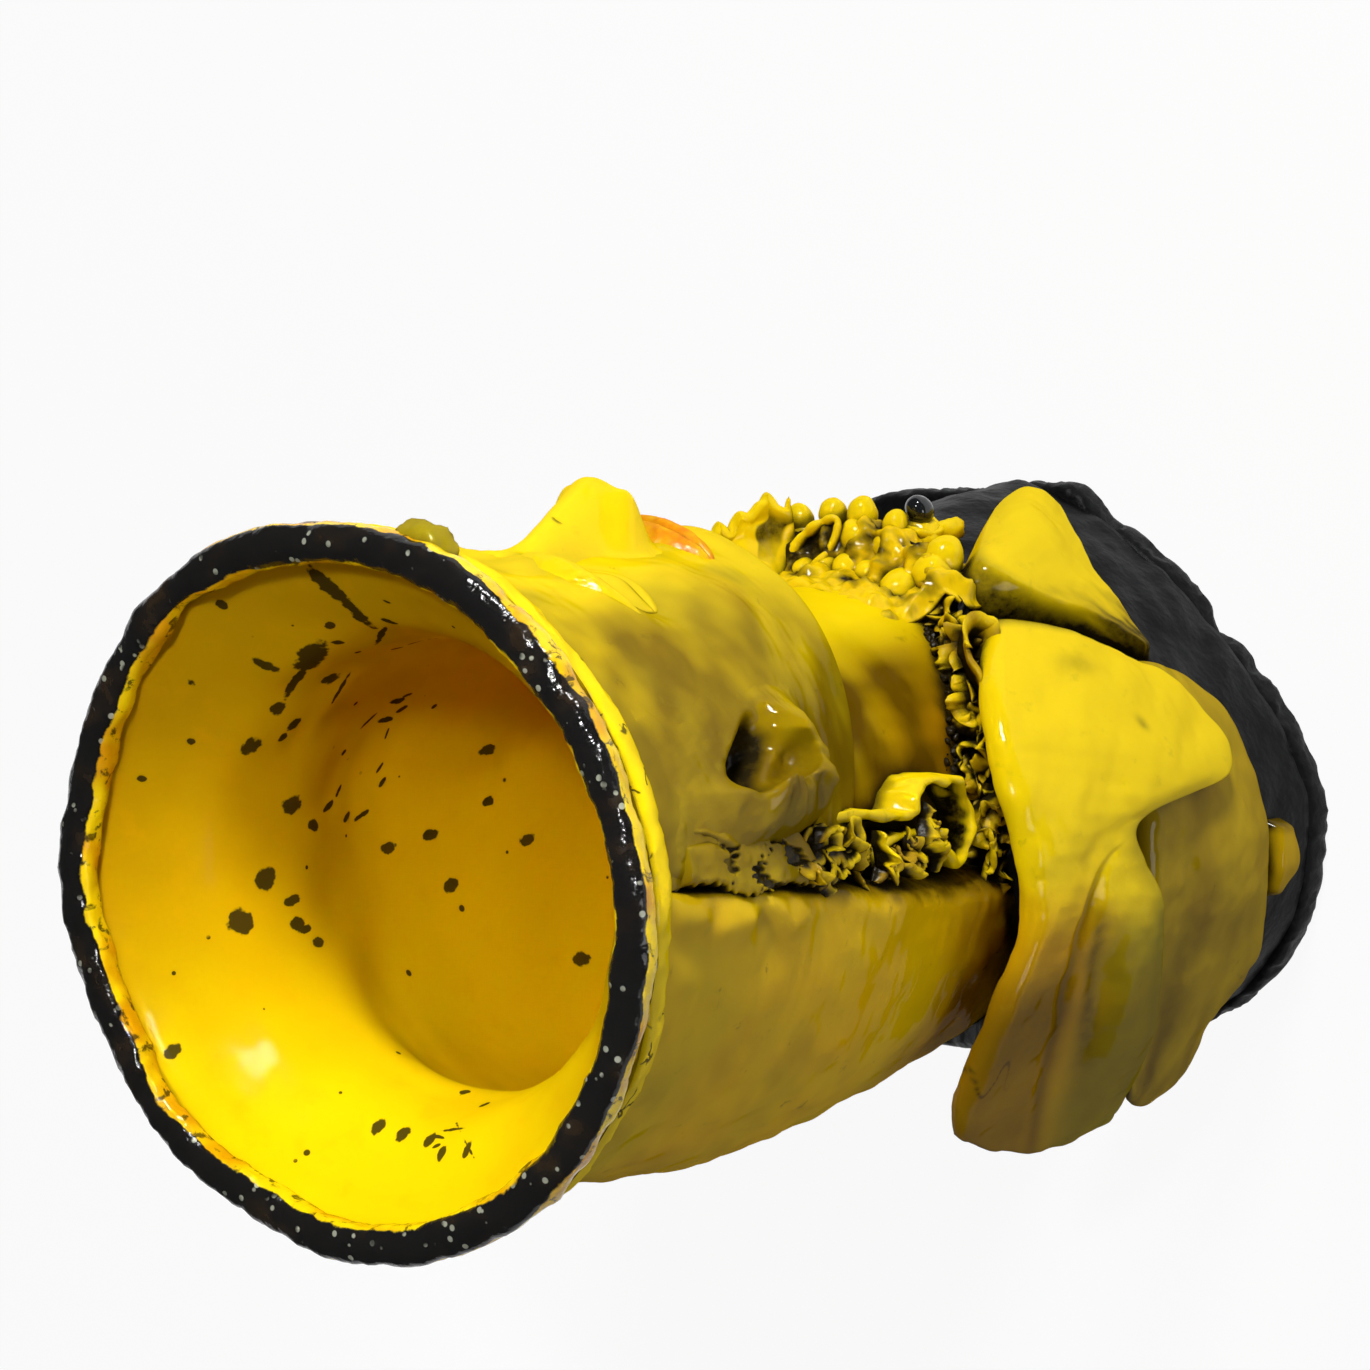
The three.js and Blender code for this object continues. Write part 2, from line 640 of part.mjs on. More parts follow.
function lip(upper) {
  const fullness = upper ? lipFullness * 0.42 : lipFullness * 0.55;
  const taper = (v) => Math.sqrt(Math.max(1 - (2 * v - 1) ** 2, 0)) + 0.12;
  const halfWidth = (v) => fullness * taper(v);
  const line = (v) => {
    const x = (v - 0.5) * mouthWidth * (upper ? 1 : 0.86);
    const bow = upper ? swell(Math.abs(x) - 6, 5) : 0;
    const away = joinGap + halfWidth(THREE.MathUtils.clamp(v, 0, 1)) + bow;
    return onFace(x, mouthHeight + (upper ? away : -away));
  };
  return pressed(mask, line, halfWidth, (v) => lipFullness * taper(v), 4, 12);
}

// The lids of a closed eye meet on a line that hangs a little
function eyelid(side, upper) {
  const depth = upper ? eyeWidth * 0.15 : eyeWidth * 0.07;
  const taper = (v) => Math.sqrt(Math.max(1 - (2 * v - 1) ** 2, 0)) + 0.1;
  const halfWidth = (v) => depth * taper(v);
  const line = (v) => {
    const x = side * (eyeSpacing / 2 + (v - 0.5) * eyeWidth);
    const seam = eyeHeight - 2.4 * (1 - (2 * v - 1) ** 2);
    const away = joinGap + halfWidth(THREE.MathUtils.clamp(v, 0, 1));
    return onFace(x, seam + (upper ? away : -away));
  };
  return pressed(mask, line, halfWidth, (v) => (upper ? 2.6 : 2) * taper(v), 3, 8);
}

function brow(side) {
  const line = (v) => {
    const x = side * mix(eyeSpacing * 0.2, eyeSpacing * 0.8, v);
    return onFace(x, browHeight + 2 + 3.5 * Math.sin(Math.PI * v));
  };
  const taper = (v) => 0.35 + 0.65 * Math.sin(Math.PI * Math.min(v + 0.15, 1));
  return pressed(mask, line, (v) => 3 * taper(v), (v) => 2.8 * taper(v), 3, 8);
}

// An ear is a strip set on edge round its open hollow
function ear(side, grow = 0) {
  const middle = (browHeight + noseHeight) / 2;
  const line = (v) => {
    const turn = rad(mix(125, -95, v));
    const across = (Math.cos(turn) * earWidth) / 2.3;
    return [side * (rad(75) + across / maskHalfWidth), middle + (Math.sin(turn) * third) / 2];
  };
  const reach = (v) => earReach * (0.35 + 0.65 * Math.sin(Math.PI * v) ** 0.7);
  return pressed(mask, line, (v) => 2.4 + 1.4 * Math.sin(Math.PI * v), reach, 3, 12, { crown: 4, grow });
}

// Torn strip over the crease between mask and hood
function seamStrip(side, grow = 0) {
  const line = (v) => {
    const h = mix(slabTopHeight - 12, neckTopHeight + 22, v);
    return [side * (creaseAngle(h) + 0.03 * Math.sin(11 * v)), h];
  };
  const halfWidth = (v) => (seamStripWidth / 2) * (0.8 + 0.25 * Math.sin(17 * v + 1));
  const lift = (v) => 4 + 1.6 * Math.sin(13 * v + 2);
  return pressed(hood, line, halfWidth, lift, 3, 10, { sink: 4, crown: 3, grow });
}

// Scroll: a strip on edge in a U on the side of the neck, open towards the mouth
function neckScroll(side) {
  const middle = rad(93);
  const line = (v) => {
    const turn = rad(mix(42, 322, v));
    const h = neckTopHeight + 24 + scrollRadius * 1.4 * Math.cos(turn);
    return [side * (middle - (scrollRadius * Math.sin(turn)) / neckRadius), h];
  };
  const reach = (v) => 9 + 6 * Math.sin(Math.PI * v);
  return pressed(vessel, line, (v) => 2 + 0.8 * Math.sin(Math.PI * v), reach, 2, 16, { sink: 4, crown: 6 });
}

// A leaf-shaped ring of clay laid on the throat
function leafLoop() {
  const profile = [[-2.2, -4], [-2.2, 2], [-0.8, 4], [0.8, 4], [2.2, 2], [2.2, -4]];
  return turned((turn) => profile.map(([away, lift]) => {
    const across = (leafLength * 0.3 + away) * Math.cos(turn) * (1 - 0.4 * Math.sin(turn));
    const along = (leafLength / 2 - 2.2 + away) * Math.sin(turn);
    return place(vessel, rad(-8) + across / neckRadius, mantleFrontHeight + 7 + leafLength / 2 + along, lift);
  }), false, 14);
}

// Rows of [angle, rise over the front of the collar, lift off the throat]
const collarFlapRows = [
  [[12, 2, 3], [13, 6, 14], [14, 10, 23]],
  [[17, 16, 3], [17, 22, 13], [18, 30, 21]],
  [[23, 28, 2], [23, 34, 10], [23, 46, 17]],
];

// Pegs, the bead and its bezel stand round the front of the collar
const collarPegs = [
  { name: 'collar_peg_1', angle: 28, size: 1.05 },
  { name: 'collar_peg_2', angle: 19, size: 1 },
  { name: 'collar_peg_3', angle: 11, size: 0.9 },
  { name: 'collar_peg_4', angle: 3.5, size: 1.15 },
  { name: 'collar_peg_5', angle: -3.5, size: 0.85 },
  { name: 'collar_peg_6', angle: -18, size: 1 },
];
const beadAngle = rad(-11);

// A lump of clay with its long axis standing out from a surface
function lump(surface, angle, h, lift, size, length, columns = 8, rows = 6) {
  const middle = place(surface, angle, h, lift);
  const geometry = new THREE.SphereGeometry(1, columns, rows);
  geometry.scale(size, length, size);
  geometry.rotateZ(angle + Math.PI);
  geometry.translate(middle.x, middle.y, middle.z);
  geometry.deleteAttribute('normal');
  geometry.deleteAttribute('uv');
  return mergeVertices(geometry, 1e-4);
}

function collarPeg({ angle, size }, grow = 0) {
  const turn = rad(angle);
  const h = mantleTop(Math.abs(turn)) - 7;
  return lump(mantle, turn, h, 5, pegRadius * size * 0.82 + grow, pegRadius * size * 1.5 + grow);
}

// Assembly

const vase = new THREE.Group();
vase.name = 'head_vase';
const yellowGlaze = 0xe6c80a;
const oliveGlaze = 0xa89410;
const blackGlaze = 0x23221f;
const orangeGlaze = 0xe08a10;

function add(name, geometry, color, roughness = 0.25) {
  const material = new THREE.MeshStandardMaterial({ color, roughness, metalness: 0 });
  const mesh = new THREE.Mesh(geometry, material);
  mesh.name = name;
  vase.add(mesh);
}

const maskGeometry = seated(faceMask(), vesselTool);
const hoodGeometry = seated(backHood(), vesselTool);

const hoodTool = solidFrom(backHood(joinGap));
const maskTool = solidFrom(faceMask(joinGap));

const mantleGeometry = seated(mantleBody(), vesselTool, hoodTool);
const leftDrapeTool = solidFrom(drape(leftDrapeRows, 7, 12, 1, joinGap));
const lowerDrapeTool = solidFrom(drape(lowerDrapeRows, 6, 12, -1, joinGap));
const lapelTool = solidFrom(drape(lapelRows, 6, 8, -1, joinGap));
const bigDrapeTool = solidFrom(drape(bigDrapeRows, 7, 14, -1, joinGap));
const bodyTools = [vesselTool, mantleTool, hoodTool];
const headTools = [maskTool, hoodTool, vesselTool];

add('base_slab', baseSlab(), blackGlaze, 0.45);
add('vessel_body', vesselBody(), yellowGlaze);
add('back_hood', hoodGeometry, oliveGlaze);
add('face_mask', maskGeometry, yellowGlaze);
add('mantle', mantleGeometry, blackGlaze, 0.45);
add('lip_band', lipBand(), yellowGlaze);
add('rim_coil', rimCoil(), blackGlaze, 0.15);
const pelletHeight = lipHeight - pelletLength * 0.2;
const pellet = lump(ringOf(mouthRadius), rad(-14.5), pelletHeight, 1, pelletLength * 0.34, pelletLength / 3);
const rimTools = [solidFrom(lipBand(joinGap)), solidFrom(rimCoil(joinGap)), vesselTool];
add('rim_pellet', seated(pellet, ...rimTools), oliveGlaze);

add('nose', seated(nose(), maskTool), yellowGlaze);
add('upper_lip', seated(lip(true), maskTool), orangeGlaze);
add('lower_lip', seated(lip(false), maskTool), orangeGlaze);
for (const [sideName, side] of [['right', -1], ['left', 1]]) {
  add(`${sideName}_upper_lid`, seated(eyelid(side, true), maskTool), yellowGlaze);
  add(`${sideName}_lower_lid`, seated(eyelid(side, false), maskTool), yellowGlaze);
  add(`${sideName}_brow`, seated(brow(side), maskTool), yellowGlaze);
  add(`${sideName}_ear`, seated(ear(side), ...headTools), yellowGlaze);
  const earTool = solidFrom(ear(side, joinGap));
  const stripTool = solidFrom(seamStrip(side, joinGap));
  add(`${sideName}_seam_strip`, seated(seamStrip(side), ...headTools, earTool), oliveGlaze);
  add(`${sideName}_neck_scroll`, seated(neckScroll(side), ...headTools, mantleTool, stripTool), yellowGlaze);
}

add('right_lower_drape', seated(drape(lowerDrapeRows, 6, 12), mantleTool, hoodTool), oliveGlaze);
add('right_lapel', seated(drape(lapelRows, 6, 8), mantleTool, vesselTool, lowerDrapeTool), yellowGlaze);
add('right_big_drape', seated(drape(bigDrapeRows, 7, 14), lowerDrapeTool, lapelTool, mantleTool, hoodTool),
  yellowGlaze);
add('right_leaf', seated(drape(leafRows, 4, 6), mantleTool, lowerDrapeTool), oliveGlaze);
add('left_drape', seated(drape(leftDrapeRows, 7, 12, 1), mantleTool, hoodTool), yellowGlaze);

for (const ribbon of ruffRibbons) {
  const tools = [...bodyTools, bigDrapeTool, lapelTool, leftDrapeTool];
  add(ribbon.name, seated(ruffRibbon(ribbon), ...tools), oliveGlaze, 0.4);
}
add('leaf_loop', seated(leafLoop(), ...bodyTools), yellowGlaze);
for (const peg of collarPegs) add(peg.name, seated(collarPeg(peg), ...bodyTools, lapelTool), yellowGlaze);
const pegTools = collarPegs.map((peg) => solidFrom(collarPeg(peg, joinGap)));
const collarFlap = sheet(vessel, mantleFrontHeight, collarFlapRows, ribbonThickness, 5, 6);
add('collar_flap', seated(collarFlap, ...bodyTools, maskTool, ...pegTools), yellowGlaze);
const beadHeight = mantleTop(Math.abs(beadAngle)) - 6;
const bezelAround = (grow) => (
  lump(mantle, beadAngle, beadHeight - 2, 3, beadRadius + grow, beadRadius + grow));
const bead = lump(mantle, beadAngle, beadHeight + 1, 9, beadRadius * 0.75, beadRadius * 0.75, 10, 8);
add('bead_bezel', seated(bezelAround(0), ...bodyTools, lapelTool, ...pegTools), yellowGlaze);
add('black_bead', seated(bead, ...bodyTools, solidFrom(bezelAround(joinGap)), ...pegTools), blackGlaze, 0.1);

export default vase;
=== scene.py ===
import math

import bmesh
import bpy
import numpy as np
from mathutils import Matrix, Vector


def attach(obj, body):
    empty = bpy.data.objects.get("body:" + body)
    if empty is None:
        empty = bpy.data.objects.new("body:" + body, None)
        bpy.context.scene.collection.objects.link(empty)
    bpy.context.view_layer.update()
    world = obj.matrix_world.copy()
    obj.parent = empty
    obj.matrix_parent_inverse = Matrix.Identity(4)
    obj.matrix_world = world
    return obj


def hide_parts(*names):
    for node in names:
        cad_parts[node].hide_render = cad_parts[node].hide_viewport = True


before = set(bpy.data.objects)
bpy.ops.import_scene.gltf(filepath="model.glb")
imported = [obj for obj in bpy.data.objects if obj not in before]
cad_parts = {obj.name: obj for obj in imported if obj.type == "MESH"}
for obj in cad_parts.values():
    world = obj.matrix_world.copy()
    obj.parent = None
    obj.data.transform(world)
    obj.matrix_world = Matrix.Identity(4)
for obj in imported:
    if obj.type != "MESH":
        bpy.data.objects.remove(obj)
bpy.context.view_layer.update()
mm = 0.001  # every form below is worked out in millimetres and scaled on its way into a mesh
print("frame loaded:", len(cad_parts), "clay pieces")


# Numbers, curves and clay unevenness

def mix(a, b, share):
    return a + (b - a) * share


def bounded(value):
    return np.clip(value, 0, 1)


def rise(low, high, value):
    t = bounded((value - low) / (high - low))
    return t * t * (3 - 2 * t)


def swell(distance, width):
    return np.exp(-((distance / width) ** 2))


def quarterRound(inset):  # how far a rounded edge has fallen: 0 at its start, nearly 1 at the very edge
    return 1 - np.sqrt(1 - 0.98 * bounded(inset) ** 2)


def circle(count, start=0.0):
    return np.linspace(start, start + 2 * math.pi, count, endpoint=False)


def flatPoints(x, y):
    return np.stack([x, y], axis=-1)


def curveThrough(stations):
    at, value = (np.array(column, float) for column in zip(*stations))
    last = len(at) - 1
    before = np.maximum(np.arange(last + 1) - 1, 0)
    after = np.minimum(np.arange(last + 1) + 1, last)
    slope = (value[after] - value[before]) / (at[after] - at[before])

    def curve(position):
        position = np.clip(position, at[0], at[-1])
        i = np.clip(np.searchsorted(at, position, side="right") - 1, 0, last - 1)
        span = at[i + 1] - at[i]
        t = (position - at[i]) / span
        ends = mix(value[i], value[i + 1], t * t * (3 - 2 * t))
        return ends + span * t * (1 - t) * ((1 - t) * slope[i] - t * slope[i + 1])
    return curve


def wander(points, size, seed, layers=3):  # smooth random swelling, about -1 to 1, `size` mm from hump to hump
    rng = np.random.default_rng(seed)
    points = np.asarray(points, float)
    total = np.zeros(points.shape[:-1])
    for layer in range(layers):
        heading = rng.normal(size=(8, 3))[:, :points.shape[-1]]
        heading /= np.linalg.norm(heading, axis=1, keepdims=True)
        pitch = 2 * math.pi * 2 ** layer / size * rng.uniform(0.6, 1.3, 8)
        phase = rng.uniform(0, 2 * math.pi, 8)
        total += np.cos(points @ (heading * pitch[:, None]).T + phase).sum(axis=-1) / 2 ** layer / 3
    return total


def smoothLine(points, count):  # a smooth curve through rows of points, along axis 0
    points = np.asarray(points, float)
    t = np.linspace(0, 1, count) * (len(points) - 1)
    i = np.clip(t.astype(int), 0, len(points) - 2)
    f = (t - i).reshape((-1,) + (1,) * (points.ndim - 1))
    padded = np.concatenate([2 * points[:1] - points[1:2], points, 2 * points[-1:] - points[-2:-1]])
    a, b, c, d = (padded[i + k] for k in range(4))
    return 0.5 * (2 * b + (c - a) * f + (2 * a - 5 * b + 4 * c - d) * f ** 2 + (3 * b - a - 3 * c + d) * f ** 3)


def unit(vectors):
    return vectors / np.maximum(np.linalg.norm(vectors, axis=-1, keepdims=True), 1e-9)


# The upright surfaces of the vase. Angles run round from the front, positive to the sitter's left

body = {
    "height": 340, "mouthRadius": 90, "rimWidth": 9.6, "rimHeight": 9, "throatRadius": 61, "throatDepth": 32,
    "boreRadius": 56, "lipWall": 7, "wall": 8, "floorThickness": 9, "neckRadius": 53, "napeDepth": 82,
    "skullHalfWidth": 66, "skullFront": 62, "skullBack": 84, "footHalfWidth": 56, "collarHeight": 104,
    "neckTop": 152, "skullHeight": 250, "slabTop": 314, "hoodThickness": 10, "hoodBottom": 70,
    "maskHalfWidth": 75, "maskFront": 73, "creaseGap": 0.8, "baseThickness": 12, "baseHalfWidth": 100,
    "baseFront": 74, "baseBack": 100, "baseCentre": 20, "mantleWall": 11, "shoulderHalfWidth": 86,
    "mantleFrontHeight": 104, "mantleSideHeight": 138, "mantleBackHeight": 76, "joinGap": 0.3,
}
lipHeight = body["height"] - body["rimHeight"]
throatHeight = body["height"] - body["throatDepth"]
flareHeight = mix(throatHeight, lipHeight, 0.5)
vesselBottom = body["baseThickness"] + body["joinGap"]
floorHeight = vesselBottom + body["floorThickness"]
throatWall = body["throatRadius"] + body["wall"]


def fromAxis(radius, angle, h, centre=0.0):
    return np.stack(np.broadcast_arrays(radius * np.sin(angle), centre - radius * np.cos(angle), h), axis=-1)


class Surface:
    def __init__(self, radius, centre=lambda h: 0.0 * h):
        self.radius = radius
        self.centre = centre

    def place(self, angle, h, lift=0.0):
        angle, h = np.broadcast_arrays(np.asarray(angle, float), np.asarray(h, float))
        return fromAxis(self.radius(angle, h) + lift, angle, h, self.centre(h))

    def normal(self, angle, h):
        around = self.place(angle + 0.01, h) - self.place(angle - 0.01, h)
        return unit(np.cross(around, self.place(angle, h + 0.5) - self.place(angle, h - 0.5)))


def oval(angle, halfWidth, front, back, frontPower=2.0, backPower=2.0):
    facing = np.cos(angle) > 0
    power = np.where(facing, frontPower, backPower)
    across = np.abs(np.sin(angle)) / halfWidth
    along = np.abs(np.cos(angle)) / np.where(facing, front, back)
    return (across ** power + along ** power) ** (-1 / power)


def flared(low):  # the last stations of every outer vessel curve
    return [(throatHeight, low), (flareHeight, throatWall + 8.5), (lipHeight, body["mouthRadius"] - 2)]


vesselSide = curveThrough([
    (vesselBottom, body["footHalfWidth"]), (body["collarHeight"], body["neckRadius"] + 1),
    (body["neckTop"], body["neckRadius"] + 1), (body["skullHeight"], body["skullHalfWidth"]),
    (throatHeight - 20, body["skullHalfWidth"])] + flared(throatWall))
vesselFront = curveThrough([
    (vesselBottom, body["neckRadius"] - 2), (body["collarHeight"], body["neckRadius"]),
    (body["neckTop"], body["neckRadius"]), (body["skullHeight"], body["skullFront"]),
    (throatHeight - 20, body["skullFront"] + 1)] + flared(throatWall))
occiput = mix(body["neckTop"], body["skullHeight"], 0.45)
vesselBack = curveThrough([
    (vesselBottom, body["napeDepth"] - 16), (body["collarHeight"], body["napeDepth"] - 6),
    (body["neckTop"], body["napeDepth"]), (occiput, body["skullBack"]),
    (body["skullHeight"], body["skullBack"] - 5),
    (throatHeight - 20, body["skullBack"] - 10)] + flared(throatWall + 1))
vessel = Surface(lambda angle, h: oval(angle, vesselSide(h), vesselFront(h), vesselBack(h)))

throatLine = curveThrough([
    (throatHeight - 24, body["boreRadius"]), (throatHeight, body["throatRadius"]),
    (flareHeight, body["throatRadius"] + 9), (lipHeight, body["mouthRadius"] - 2 - body["lipWall"])])
bore = Surface(lambda angle, h: mix(
    vessel.radius(angle, h) - body["wall"], throatLine(h), rise(throatHeight - 48, throatHeight - 16, h)))

creaseAngle = curveThrough([
    (body["collarHeight"], math.radians(108)), (body["neckTop"], math.radians(107)),
    (body["skullHeight"] - 20, math.radians(95)), (body["slabTop"], math.radians(85))])
hoodSide = curveThrough([
    (body["hoodBottom"], body["neckRadius"] + 17), (body["neckTop"], body["neckRadius"] + 16),
    (body["skullHeight"] - 45, body["skullHalfWidth"] + 8), (body["skullHeight"], body["skullHalfWidth"] + 11),
    (body["slabTop"], throatWall + 10)])
hoodBack = curveThrough([
    (body["hoodBottom"], body["napeDepth"] - 1), (body["collarHeight"], body["napeDepth"] + 4),
    (body["neckTop"], body["napeDepth"] + body["hoodThickness"]),
    (occiput, body["skullBack"] + body["hoodThickness"]),
    (body["skullHeight"], body["skullBack"] + 5), (throatHeight - 20, body["skullBack"] - 1),
    (body["slabTop"], throatWall + 12)])
hood = Surface(lambda angle, h: oval(angle, hoodSide(h), body["neckRadius"], hoodBack(h), 2, 2.1))

mantleRim = body["mantleSideHeight"] + 12
bustCentre = curveThrough([(0, body["baseCentre"]), (body["collarHeight"], 14), (mantleRim, 8)])
mantleHeights = (vesselBottom, 40, 70, body["collarHeight"], mantleRim - 22, mantleRim)


def mantleCurve(start, *insets):
    return curveThrough(list(zip(mantleHeights, (start - inset for inset in insets))))


def frontPower(h):
    return mix(1.45, 1.6, np.minimum(h / body["collarHeight"], 1))


shoulder = body["shoulderHalfWidth"]
mantleSide = mantleCurve(body["baseHalfWidth"], 1.5, 6, 0.6 * (body["baseHalfWidth"] - shoulder), 15, 25, 34)
mantleFront = mantleCurve(body["baseFront"] + body["baseCentre"] - 2, 0, 3, 9, 17, 24, 30)
mantleBack = mantleCurve(body["baseBack"] - body["baseCentre"] - 2, 0, 2, 5, 8, 12, 16)
mantle = Surface(lambda angle, h: oval(
    angle, mantleSide(h), mantleFront(h), mantleBack(h), frontPower(h), 2.5), bustCentre)
collarRise = mix(body["mantleFrontHeight"], body["mantleSideHeight"], 0.5)
napeFall = mix(body["mantleSideHeight"], body["mantleBackHeight"], 0.3)
mantleTopCurve = curveThrough([
    (-50, collarRise), (0, body["mantleFrontHeight"]), (50, collarRise), (90, body["mantleSideHeight"]),
    (125, napeFall), (180, body["mantleBackHeight"]), (235, napeFall)])


def mantleTop(angle):
    return mantleTopCurve(np.degrees(np.abs(angle)))


def drum(radius):  # an upright round surface
    return Surface(lambda angle, h: 0 * h + radius)


# Meshes

class Shell:  # one closed skin of quads facing out, with tones set on its points
    def __init__(self, points, quads, **marks):
        self.points = np.asarray(points, float).reshape(-1, 3)
        quads = np.asarray(quads, int)
        a, b, c, d = (self.points[quads[:, k]] for k in range(4))
        volume = np.sum(a * (np.cross(b, c) + np.cross(c, d)))
        self.quads = quads if volume > 0 else quads[:, ::-1]
        self.marks = {mark: np.asarray(values, float).ravel() for mark, values in marks.items()}


def makePiece(name, shells, material, nodes=()):
    shells = shells if isinstance(shells, list) else [shells]
    starts = np.cumsum([0] + [len(shell.points) for shell in shells])
    points = np.concatenate([shell.points for shell in shells]) * mm
    faces = np.concatenate([shell.quads + start for shell, start in zip(shells, starts)])
    mesh = bpy.data.meshes.new(name)
    mesh.from_pydata(points.tolist(), [], faces.tolist())
    for mark in sorted({mark for shell in shells for mark in shell.marks}):
        values = [shell.marks.get(mark, np.zeros(len(shell.points))) for shell in shells]
        layer = mesh.attributes.new(mark, "FLOAT", "POINT")
        layer.data.foreach_set("value", np.concatenate(values).astype(np.float32))
    shape = bmesh.new()
    shape.from_mesh(mesh)
    bmesh.ops.remove_doubles(shape, verts=shape.verts, dist=2e-6)
    bmesh.ops.dissolve_degenerate(shape, edges=shape.edges, dist=1e-7)
    shape.to_mesh(mesh)
    shape.free()
    return addPiece(name, mesh, material, nodes)


def addPiece(name, mesh, material, nodes=()):
    mesh.shade_smooth()
    mesh.materials.clear()
    mesh.materials.append(material)
    piece = bpy.data.objects.new(name, mesh)
    bpy.context.scene.collection.objects.link(piece)
    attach(piece, "root")
    if nodes:
        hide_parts(*nodes)
    return piece


def gridQuads(rows, columns, start=0, wrapRows=False, wrapColumns=False):
    r = np.arange(rows if wrapRows else rows - 1)[:, None]
    c = np.arange(columns if wrapColumns else columns - 1)[None, :]
    nextR, nextC = (r + 1) % rows, (c + 1) % columns
    corners = [r * columns + c, r * columns + nextC, nextR * columns + nextC, nextR * columns + c]
    return np.stack([np.broadcast_to(k, (r.size, c.size)) for k in corners], axis=-1).reshape(-1, 4) + start


def shares(rows, columns):  # across and down a square grid, 0 to 1
    down, across = np.meshgrid(np.linspace(0, 1, rows), np.linspace(0, 1, columns), indexing="ij")
    return across, down


def slabShell(outer, inner, **marks):  # both faces of a slab and the wall between their borders
    rows, columns = outer.shape[:2]
    count = rows * columns
    border = np.concatenate([
        np.arange(columns), np.arange(1, rows) * columns + columns - 1,
        (rows - 1) * columns + np.arange(columns - 2, -1, -1), np.arange(rows - 2, 0, -1) * columns])
    after = np.roll(border, -1)
    quads = np.concatenate([
        gridQuads(rows, columns), gridQuads(rows, columns, count)[:, ::-1],
        np.stack([after, border, border + count, after + count], axis=-1)])
    doubled = {}
    for mark, values in marks.items():  # a pair gives the outer face and the inner face their own tones
        pair = values if isinstance(values, tuple) else (values, values)
        doubled[mark] = np.concatenate([np.broadcast_to(face, (rows, columns)).ravel() for face in pair])
    return Shell(np.concatenate([outer.reshape(-1, 3), inner.reshape(-1, 3)]), quads, **doubled)


def gridNormals(grid):
    return unit(np.cross(np.gradient(grid, axis=1), np.gradient(grid, axis=0)))


def edgeShare(grid, edge):  # 0 on the border of a grid, 1 from `edge` mm inwards, like a quarter round
    def along(axis):
        step = np.linalg.norm(np.diff(grid, axis=axis), axis=2)
        start = np.zeros_like(np.take(step, [0], axis=axis))
        walked = np.concatenate([start, np.cumsum(step, axis=axis)], axis=axis)
        left = np.take(walked, [-1], axis=axis) - walked
        inset = bounded(1 - np.minimum(walked, left) / edge)
        return np.sqrt(1 - inset ** 2)
    return along(0) * along(1)


def pillow(middle, thickness, edge, **marks):  # a slab round a middle face, its edges fully rounded
    half = (0.5 * thickness * edgeShare(middle, edge))[..., None] * gridNormals(middle)
    return slabShell(middle + half, middle - half, **marks)


def walk(base, step):  # from each point of `base`, step by step along axis 1
    return base[:, None] + np.cumsum(np.concatenate([0 * step[:, :1], step[:, :-1]], axis=1), axis=1)


def standingStrip(base, normals, reach, thickness, curl, lean=0.0, steps=9, **marks):
    # a strip of clay stood on edge along `base`, curling over to one side as it rises
    side = unit(np.cross(normals, unit(np.gradient(base, axis=0))))
    given = (reach, thickness, curl, lean)
    reach, thickness, curl, lean = (np.broadcast_to(value, len(base)).astype(float) for value in given)
    share = np.linspace(0, 1, steps)
    turn = lean[:, None] + curl[:, None] * share[None, :] ** 1.3
    up, over = np.cos(turn)[..., None], np.sin(turn)[..., None]
    step = (normals[:, None] * up + side[:, None] * over) * (reach[:, None, None] / (steps - 1))
    line = walk(base, step)
    flank = side[:, None] * up - normals[:, None] * over
    roundTop = np.sqrt(1 - 0.97 * bounded((share - 0.7) / 0.3) ** 2)
    half = flank * (0.5 * thickness[:, None] * roundTop[None, :])[..., None]
    section = np.concatenate([line + half, (line - half)[:, ::-1]], axis=1)
    rows, columns = section.shape[:2]
    k = np.arange(steps - 1)
    cap = np.stack([k, k + 1, columns - 2 - k, columns - 1 - k], axis=-1)
    quads = np.concatenate([
        gridQuads(rows, columns, wrapColumns=True), cap, cap[:, ::-1] + (rows - 1) * columns])
    spreadOut = {mark: np.broadcast_to(np.concatenate([values, values[::-1]]), (rows, columns)).ravel()
                 for mark, values in marks.items()}
    return Shell(section, quads, **spreadOut)


def curledSheet(base, out, toward, reach, turn, rows=16):
    # a face that rises from `base` along `out` and bends `toward` by `turn` radians
    reach, turn = (np.broadcast_to(value, len(base)).astype(float) for value in (reach, turn))
    bend = turn[:, None] * np.linspace(0, 1, rows)[None, :]
    step = out[:, None] * np.cos(bend)[..., None] + toward[:, None] * np.sin(bend)[..., None]
    return walk(base, step * (reach / (rows - 1))[:, None, None])


def facing(base, out, centre):  # along the surface from each point towards `centre`
    away = centre - base
    return unit(away - out * np.sum(away * out, axis=-1, keepdims=True))


def turns(count):  # angles all round from the back, down a grid
    return circle(count, -math.pi)[:, None]


def poles(points, count):  # each point repeated for every angle, to close a turned skin on its axis
    return [np.broadcast_to(np.asarray(point, float), (count, 1, 3)) for point in points]


def turnedShell(sections, closed=True, **marks):  # sections[angle, point]; rings, or profiles from axis to axis
    return Shell(sections, gridQuads(*sections.shape[:2], wrapRows=True, wrapColumns=closed), **marks)


